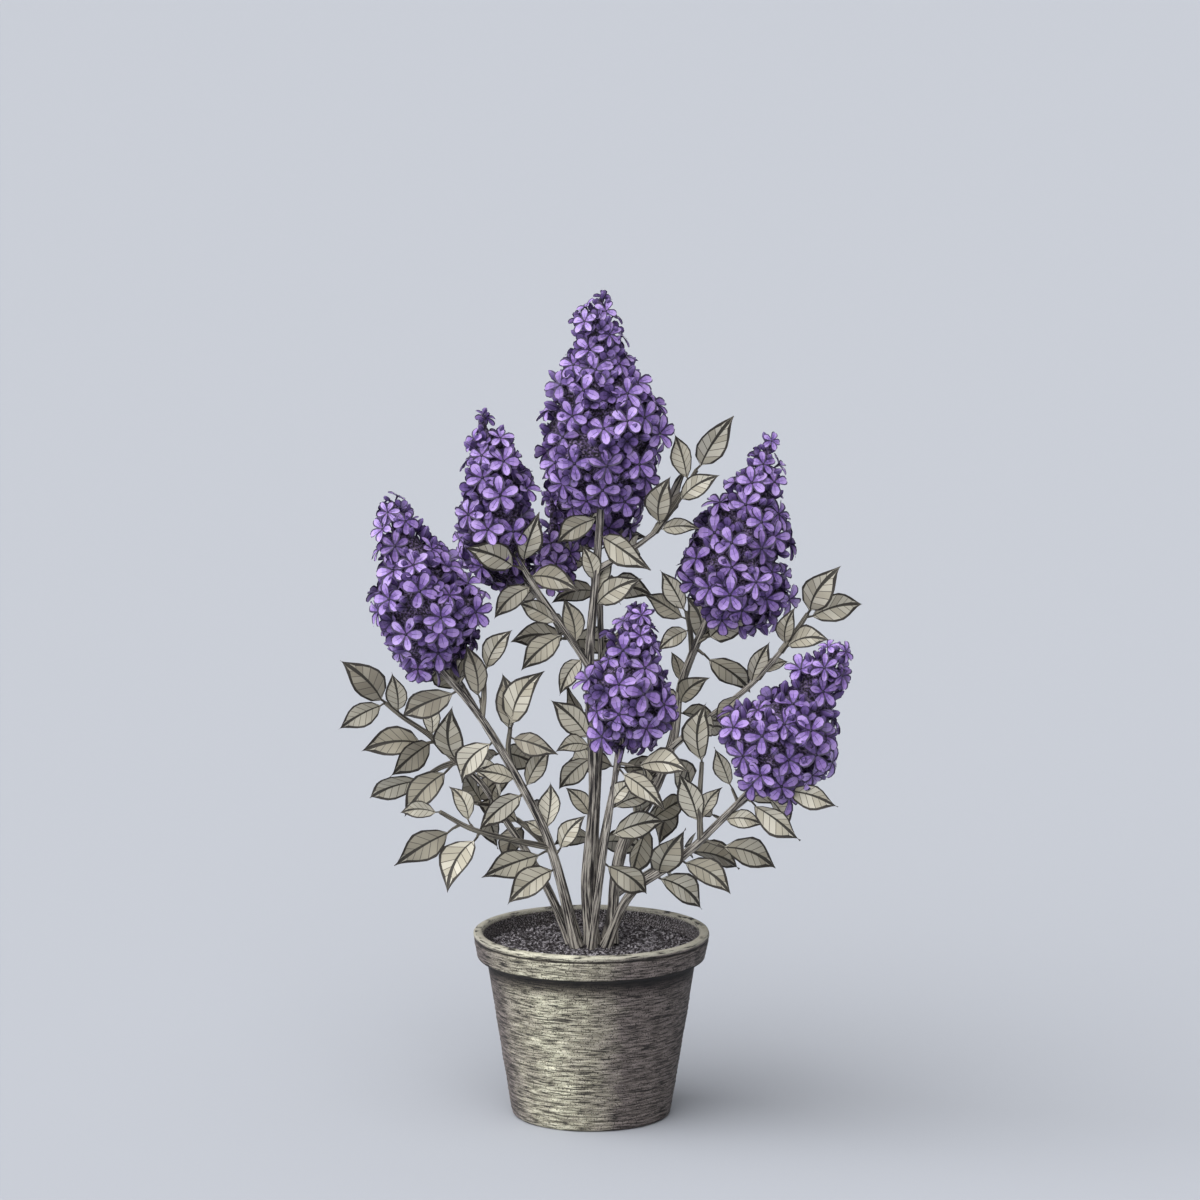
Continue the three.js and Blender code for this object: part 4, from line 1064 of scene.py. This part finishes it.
def headPlaces(name):
    # open florets first, as close as they go, then half-open ones and buds in the gaps between them
    roll, head, f = dice(name + " florets"), heads[name], floret
    axis = unit(np.array(head["top"], float) - np.array(head["base"], float))
    places, taken = [], np.empty((0, 3))
    for filler in (False, True):
        spacing, clear = (f["fillerSpacing"], f["budClear"]) if filler else (f["spacing"], f["leafClear"])
        for _ in range(f["tries"]):
            share, turn = lerp(*f["span"], next(roll)), next(roll) * 2 * math.pi
            nearTip = max(0, (share - f["smallerFrom"]) / (1 - f["smallerFrom"])) ** f["smallerPower"]
            across = lerp(f["across"], f["tipAcross"], nearTip)
            if "radius" in head:
                across *= min(1, lerp(f["smallHead"], 1, head["radius"] / f["fullHead"]))
            sunk = across * (f["fillerSunk"] if filler else lerp(*f["sunk"], next(roll)))
            point = headSurface(name, share, turn, sunk)
            if len(taken) and np.linalg.norm(taken - point, axis=1).min() < across * spacing:
                continue
            normal = headNormal(name, share, turn)
            toLight = max(0, f["lightFrom"] - normal[1]) * f["toLight"] if "back" not in name else 0
            aim = normal + axis * lerp(*f["rising"], share) + np.array([0, -toLight, 0])
            aim = unit(unit(aim) + np.array([next(roll) - 0.5 for _ in range(3)]) * f["wobble"])
            spin = np.array([next(roll) - 0.5 for _ in range(3)])
            spin = unit(spin - aim * (spin @ aim))
            spread = [turned(np.cross(spin, aim), aim, 2 * math.pi * k / 5) * reach
                      for k in range(5) for reach in f["fillerReach" if filler else "reach"]]
            petals = point + np.array(spread) * across
            if np.linalg.norm(bladeSpots - petals[:, None], axis=2).min() < clear:
                continue
            taken = np.vstack([taken, point])
            pick, shade = next(roll), next(roll)
            if filler:
                shape, tone = f["openShapes"] + int(pick * f["fillerShapes"]), len(petalTones) - 1
            else:
                shape, tone = int(pick * f["openShapes"]), sum(shade >= limit for limit in f["toneShares"])
            size = across * lerp(*f["size"], next(roll)) * (f["fillerSize"] if filler else 1)
            places.append({
                "point": point, "aim": spin, "face": aim, "shape": shape, "tone": tone, "size": size})
    return places


# A floret's throat, petals and rows are in shares of its width, its edge, half vein and tube in
# millimetres. rows are (share of the petal's length, share of its width), angles are degrees of rise when
# shut and when open, and kinds are (petals, opening), with opening from 0, shut, to 1, laid flat. The last
# of them is half open.
petalForm = {
    "throat": 0.05, "width": 0.34, "widths": (0.9, 1.1), "lengths": (0.92, 1.08), "edge": 1.6,
    "halfVein": 0.45, "tube": 8, "rows": ((0.0, 0.3), (0.3, 0.74), (0.62, 1.0), (0.87, 0.84), (1.0, 0.36)),
    "angles": (84, 18), "angleStray": 16, "turnStray": 0.2, "curl": (26, 50), "slant": 0.5,
    "kinds": [(5, 1.0), (5, 0.85), (6, 0.95), (5, 0.75), (4, 0.9), (4, 0.3)],
}
budForm = {
    "long": (0.85, 1.05), "columns": 8, "seam": 0.82, "lean": 0.2,
    "rows": ((-0.12, 0.06), (0.1, 0.13), (0.3, 0.16), (0.47, 0.1), (0.56, 0.015)),
}


def floretShape(name, roll, petals, opening):
    # one floret of 1 mm across, with its mouth at the origin and its face to +Z. Parts: 0 tip of a petal, 1
    # its middle, 2 its foot, 3 its edge, 4 tube and throat
    form, vertices, faces, parts = petalForm, [], [], []
    edge, halfVein, tube = [form[key] / floret["across"] for key in ("edge", "halfVein", "tube")]
    throat = form["throat"]
    for petal in range(petals):
        turn = 2 * math.pi * (petal + (next(roll) - 0.5) * form["turnStray"]) / petals
        long = (0.5 - throat) * lerp(*form["lengths"], next(roll))
        wide = form["width"] / 2 * lerp(*form["widths"], next(roll)) * 5 / max(petals, 4.5)
        rise = math.radians(lerp(*form["angles"], opening) + (next(roll) - 0.5) * form["angleStray"])
        curl = math.radians(lerp(*form["curl"], next(roll))) * (0.3 + opening)
        slant = (next(roll) - 0.5) * form["slant"]
        out = np.array([math.cos(turn), math.sin(turn), 0])
        sideways = np.array([-math.sin(turn), math.cos(turn), 0])
        centre, grid, walked = out * throat, [], 0.0
        for row, width in form["rows"]:
            angle = rise - curl * row
            ahead = out * math.cos(angle) + np.array([0, 0, 1]) * math.sin(angle)
            centre = centre + ahead * (row - walked) * long
            walked = row
            above = np.cross(ahead, sideways)
            reach = wide * width
            side, vein = max(reach - edge, reach * 0.45), min(halfVein * (1 - row), reach * 0.25)
            # across the petal: edges at its foot, a vein between its halves, and only a crease towards its
            # tip
            middle = ((), (-vein, vein), (-vein, vein), (0,), (0,))[len(grid)]
            grid.append([])
            cup = math.sin(math.pi * (0.2 + 0.6 * row))
            for offset in (-reach, -side, *middle, side, reach):
                raised = (0.06 * abs(offset) / reach - 0.02) * cup + slant * offset
                grid[-1].append(len(vertices))
                vertices.append((centre + sideways * offset + above * raised) * mm)
        a, b, c, d, e = grid
        faces += [(a[0], b[0], b[1], a[1]), (a[1], b[1], b[2], b[3], b[4], a[2]), (a[2], b[4], b[5], a[3])]
        parts += [3, 2, 3]
        faces += [(b[k], c[k], c[k + 1], b[k + 1]) for k in range(5)]
        parts += [3, 1, 3, 1, 3]
        faces += [(c[0], d[0], d[1], c[1]), (c[1], d[1], d[2], c[2]), (c[2], d[2], c[3]),
                  (c[3], d[2], d[3], c[4]), (c[4], d[3], d[4], c[5])]
        parts += [3, 0, 3, 0, 3]
        faces += [(d[k], e[k], e[k + 1], d[k + 1]) for k in range(4)]
        parts += [3, 0, 0, 3]
    sides, first = 4, len(vertices)
    for radius, height in ((throat * 1.2, 0.015), (throat * 0.5, -tube)):
        for k in range(sides):
            turn = 2 * math.pi * (k + 0.5) / sides
            vertices.append(np.array([radius * math.cos(turn), radius * math.sin(turn), height]) * mm)
    for k in range(sides):
        faces.append((first + k, first + sides + k, first + sides + (k + 1) % sides, first + (k + 1) % sides))
        parts.append(4)
    faces.append(tuple(first + k for k in range(sides)))
    parts.append(4)
    return partedMesh(name, vertices, faces, parts)


def budShape(name, roll, long):
    # a plump bud standing on +Z, four petals still rolled together with dark seams between them
    vertices, faces, parts, rows, columns = [], [], [], budForm["rows"], budForm["columns"]
    lean = (next(roll) - 0.5) * budForm["lean"]
    for height, radius in rows:
        for k in range(columns):
            turn = 4 * math.pi * (k // 2 + (budForm["seam"] if k % 2 else 0)) / columns
            x, y = radius * math.cos(turn), radius * math.sin(turn)
            vertices.append(np.array([x + lean * max(height, 0), y, height * long]) * mm)
    for i in range(len(rows) - 1):
        for k in range(columns):
            j = (k + 1) % columns
            faces.append((i * columns + k, i * columns + j, (i + 1) * columns + j, (i + 1) * columns + k))
            parts.append(3 if k % 2 else (2, 1, 1, 0)[i])
    return partedMesh(name, vertices, faces, parts)


# lilac petal: thin and silky, so it gives a soft broad light with some sheen. Each tone is a set of tip,
# middle and foot colours, and every petal is edged darker where it is rolled under; the last tone is the
# fillers'. The foot is darker, partly the petal's own deeper colour by the throat and partly painted
# shade in the floret's cup, and the paler tip is partly a painted highlight.
petalTones = [("#a488c8", "#9276bb", "#6e5097"), ("#9a7fbf", "#886bb2", "#63488d"),
              ("#a88fcb", "#977dc0", "#745699"), ("#876bab", "#735799", "#523b76"),
              ("#6a5290", "#58427c", "#3d2d5c")]
petalDressings = []
for k, colours in enumerate(petalTones):
    for part, colour in enumerate(colours):
        silky = newMaterial(f"petal_silky_{part}_{k}", colour, 0.5, Sheen_Weight=0.15)[0]
        petalDressings.append((part, k, silky))
petalDressings += [
    (3, None, newMaterial("petal_edge_rolled", "#2e2142", 0.55)[0]),
    # the tube and the disc over its mouth are near black: painted shade down the tube
    (4, None, newMaterial("floret_tube_painted_shade", "#2a1f3c", 0.5)[0]),
]
floretShapes = bpy.data.collections.new("floret_shapes")
floretRoll = dice("floret shapes")
for k, (petals, opening) in enumerate(petalForm["kinds"]):
    shape = floretShape(f"floret_shape_{k}", floretRoll, petals, opening)
    newObject(f"floret_shape_{k}", shape, floretShapes)
for k, long in enumerate(budForm["long"], len(petalForm["kinds"])):
    newObject(f"floret_shape_{k}", budShape(f"floret_shape_{k}", floretRoll, long), floretShapes)
floretNodes = placedTree("set_florets", petalDressings)
for pieceName, members in (("blossom_front_side", [n for n in heads if "back" not in n]),
                           ("blossom_back_side", [n for n in heads if "back" in n])):
    places = [place for name in members for place in headPlaces(name)]
    print(pieceName, len(places), "florets")
    points = placePoints(pieceName + "_points", places)
    piece = bakeNodes(pieceName, points, floretNodes, {"Shapes": floretShapes})
    finishPiece(piece, members)


# What fills a head behind its florets. depth is how far it stays inside them and least its least share of
# their reach; a lump is (share, waves to the millimetre), and a speck is about 2.4 mm across.
core = {
    "rings": 36, "sides": 30, "span": (0.03, 0.97), "depth": 16, "least": 0.3, "ends": 0.1,
    "lumps": ((0.25, 0.11), (0.16, 0.31)), "speckScale": 420,
    "speckColours": [(0.4, "#17131a"), (0.5, "#3a3040"), (0.58, "#5a4878"), (0.68, "#7a6e7c")],
}


def coreMesh(name):
    # the inside of the flower heads, where stalks and spent buds are packed too closely to tell apart; it is
    # coloured dark as painted shade
    vertices, faces, rings, sides = [], [], core["rings"], core["sides"]
    for member in heads:
        first = len(vertices)
        for i in range(rings + 1):
            share = lerp(*core["span"], i / rings)
            middle = (headSurface(member, share, 0) + headSurface(member, share, math.pi)) / 2
            for k in range(sides):
                outside = headSurface(member, share, 2 * math.pi * k / sides)
                width = np.linalg.norm(outside - middle)
                lump = 1 + sum(part * noise.noise(Vector(outside) * scale) for part, scale in core["lumps"])
                inwards = max(1 - core["depth"] / width, core["least"]) * lump
                reach = inwards if 0 < i < rings else core["ends"]
                vertices.append((middle + (outside - middle) * reach) * mm)
        for i in range(rings):
            low, high = first + i * sides, first + (i + 1) * sides
            for k in range(sides):
                j = (k + 1) % sides
                faces.append((low + k, low + j, high + j, high + k))
        faces.append(tuple(first + k for k in reversed(range(sides))))
        faces.append(tuple(first + rings * sides + k for k in range(sides)))
    return newMesh(name, vertices, faces)


def coreMaterial():
    # bunched stalks and shrivelled buds in shade: dull brown and violet, speckled, with no shine
    material, tree, shader = newMaterial("panicle_stalks_shaded", "#2f2a2c", 0.95)
    place = addNode(tree, "ShaderNodeTexCoord").outputs["Object"]
    specks = addNode(tree, "ShaderNodeTexNoise", {
        "Vector": place, "Scale": core["speckScale"], "Detail": 2}).outputs["Fac"]
    colour = addNode(tree, "ShaderNodeValToRGB", {"Fac": specks}, core["speckColours"]).outputs["Color"]
    tree.links.new(colour, shader.inputs["Base Color"])
    return material


corePiece = newObject("panicle_cores", coreMesh("panicle_cores"))
corePiece.data.materials.append(coreMaterial())
finishPiece(corePiece, [])
print("blossom set")

# Inner leaves: single leaves along every limb, turned to the sides and the back, that fill the crown all
# round. They are kept only where outer leaves and heads stand before them, so that the gaps of the fuller
# side stay open: hidden is the least share of a leaf that has to be behind something.
inner = {
    "tries": 9000, "bearings": (-50, 230), "turns": (-135, 135), "length": (42, 62), "stalk": (5, 14),
    "gap": 20, "lowest": 238, "hidden": 0.95, "behind": 6, "belowHead": 0.05,
}
outlineSteps = np.linspace(0, 1, len(evenHead))


def headReaches(head):
    if "radius" in head:
        return [[head["radius"] * share for share in evenHead]] * 2
    return [head["left"], head["right"]]


def seenAt(point):
    # where a point shows on the upright plane through the trunk, looked at from the viewpoint
    eye = np.array(viewpoint["place"]) / mm
    return (eye + (point - eye) * eye[1] / (eye[1] - point[1]))[[0, 2]]


def frontScreens():
    # what stands before the inner leaves, as arrays: foot, run to the tip, reach to its left and right, depth
    screens = []
    for _, found in frontShoots.values():
        for place in found:
            foot = place["point"] + place["aim"] * place["stalk"]
            reach = [leafOutline(t) * leaf["halfWidth"] * place["length"] for t in outlineSteps]
            screens.append((foot, foot + place["aim"] * place["length"], reach, reach))
    screens += [(np.array(head["base"], float), np.array(head["top"], float), *headReaches(head))
                for name, head in heads.items() if "back" not in name]
    feet, tips = [np.array([seenAt(screen[k]) for screen in screens]) for k in (0, 1)]
    left, right = [np.array([screen[k] for screen in screens]) for k in (2, 3)]
    return feet, tips - feet, left, right, np.array([screen[0][1] for screen in screens])


def hiddenAt(point, screens):
    feet, runs, left, right, depth = screens
    offset = seenAt(point) - feet
    size = np.linalg.norm(runs, axis=1)
    share = (offset * runs).sum(axis=1) / size ** 2
    across = (offset[:, 0] * runs[:, 1] - offset[:, 1] * runs[:, 0]) / size
    step = np.clip(share, 0, 0.999) * (len(outlineSteps) - 1)
    low, rows = step.astype(int), np.arange(len(feet))
    reach = np.where((across > 0)[:, None], right, left)
    reach = lerp(reach[rows, low], reach[rows, low + 1], step - low)
    before = depth < point[1] + inner["behind"]
    return bool(np.any((share > 0) & (share < 1) & (abs(across) < reach) & before))


def insideHead(point):
    for head in heads.values():
        base, top = np.array(head["base"], float), np.array(head["top"], float)
        share = (point - base) @ (top - base) / ((top - base) @ (top - base))
        reach = np.interp(share, outlineSteps, np.mean(headReaches(head), axis=0))
        if -inner["belowHead"] < share < 1 and np.linalg.norm(point - base - (top - base) * share) < reach:
            return True
    return False


def innerLeaves():
    # tries places along the limbs and keeps the hidden ones that stand clear of every other leaf
    roll, screens, names = dice("inner leaves"), frontScreens(), list(limbs)
    found = {name: (None, []) for name in names}
    taken = [place["point"] + place["aim"] * (place["stalk"] + place["length"] / 2)
             for _, leaves in shoots.values() for place in leaves]
    for _ in range(inner["tries"]):
        name = names[int(next(roll) * len(names))]
        point = limbPaths[name].at(next(roll))
        bearing, turn = [math.radians(lerp(*inner[key], next(roll))) for key in ("bearings", "turns")]
        length, stalk = lerp(*inner["length"], next(roll)), lerp(*inner["stalk"], next(roll))
        facing = np.array([math.cos(bearing), math.sin(bearing), 0])
        rightward = np.cross([0, 0, 1], facing)
        outward = facing * lerp(*leaf["outward"], next(roll))
        aim = unit(rightward * math.sin(turn) + outward + [0, 0, math.cos(turn)])
        sideways = unit(np.cross(aim, facing))
        foot, tip = point + aim * stalk, point + aim * (stalk + length)
        middle = (foot + tip) / 2
        if min(tip[2], foot[2]) < inner["lowest"] or middle @ facing < 0 or insideHead(middle):
            continue
        if any(np.linalg.norm(middle - other) < inner["gap"] for other in taken):
            continue
        edges = [lerp(foot, tip, t) + sideways * side * leaf["halfWidth"] * length * leafOutline(t)
                 for t in (0.1, 0.35, 0.6, 0.9) for side in (-1, 1)]
        if np.mean([hiddenAt(spot, screens) for spot in (*edges, tip)]) < inner["hidden"]:
            continue
        taken.append(middle)
        found[name][1].append({"point": point, "aim": aim, "face": facing, "length": length, "stalk": stalk})
    return {name + " inner": shoot for name, shoot in found.items() if shoot[1]}


innerShoots = innerLeaves()
print(sum(len(found) for _, found in innerShoots.values()), "inner leaves")
growFoliage(innerShoots, [], "leaves_inner", "stalks_inner")

# Plain pale floor and soft studio light: a broad low key from the front left, an overhead softbox that keeps
# the shadows on the floor short and pale, and a weak even fill. A lamp is (energy, angle across, elevation,
# bearing), with its angles in degrees.
stage = {
    "reach": 60, "floor": "#a8abb2", "background": "#cacfd7", "fill": 0.3, "fillColour": "#f9fcff",
    "lamps": {"key": (4.6, 108, 36, 224), "overhead": (1.1, 90, 78, 195)},
}


def makeStage():
    r = stage["reach"]
    square = newMesh("floor", [(-r, -r, 0), (r, -r, 0), (r, r, 0), (-r, r, 0)], [(0, 1, 2, 3)])
    floor = newObject("floor", square)
    paper = newMaterial("floor_paper_matt", stage["floor"], 1.0, Specular_IOR_Level=0.0)[0]
    floor.data.materials.append(paper)
    for name, (energy, across, elevation, bearing) in stage["lamps"].items():
        lamp = newObject(name, bpy.data.lights.new(name, "SUN"))
        lamp.data.energy, lamp.data.angle = energy, math.radians(across)
        turn, height = math.radians(bearing), math.radians(elevation)
        level = math.cos(height)
        toLamp = Vector((math.cos(turn) * level, math.sin(turn) * level, math.sin(height)))
        lamp.rotation_euler = toLamp.to_track_quat("Z", "Y").to_euler()
    world = bpy.data.worlds.new("studio")
    bpy.context.scene.world = world
    world.use_nodes = True
    tree = world.node_tree
    tree.nodes.clear()
    seen = addNode(tree, "ShaderNodeBackground", {
        "Color": linearColour(stage["background"]), "Strength": 1.0})
    fill = addNode(tree, "ShaderNodeBackground", {
        "Color": linearColour(stage["fillColour"]), "Strength": stage["fill"]})
    ray = addNode(tree, "ShaderNodeLightPath").outputs["Is Camera Ray"]
    both = addNode(tree, "ShaderNodeMixShader", {0: ray, 1: fill.outputs[0], 2: seen.outputs[0]})
    addNode(tree, "ShaderNodeOutputWorld", {"Surface": both.outputs[0]})
    bpy.context.scene.view_settings.view_transform = "Standard"


makeStage()
print("stage lit")
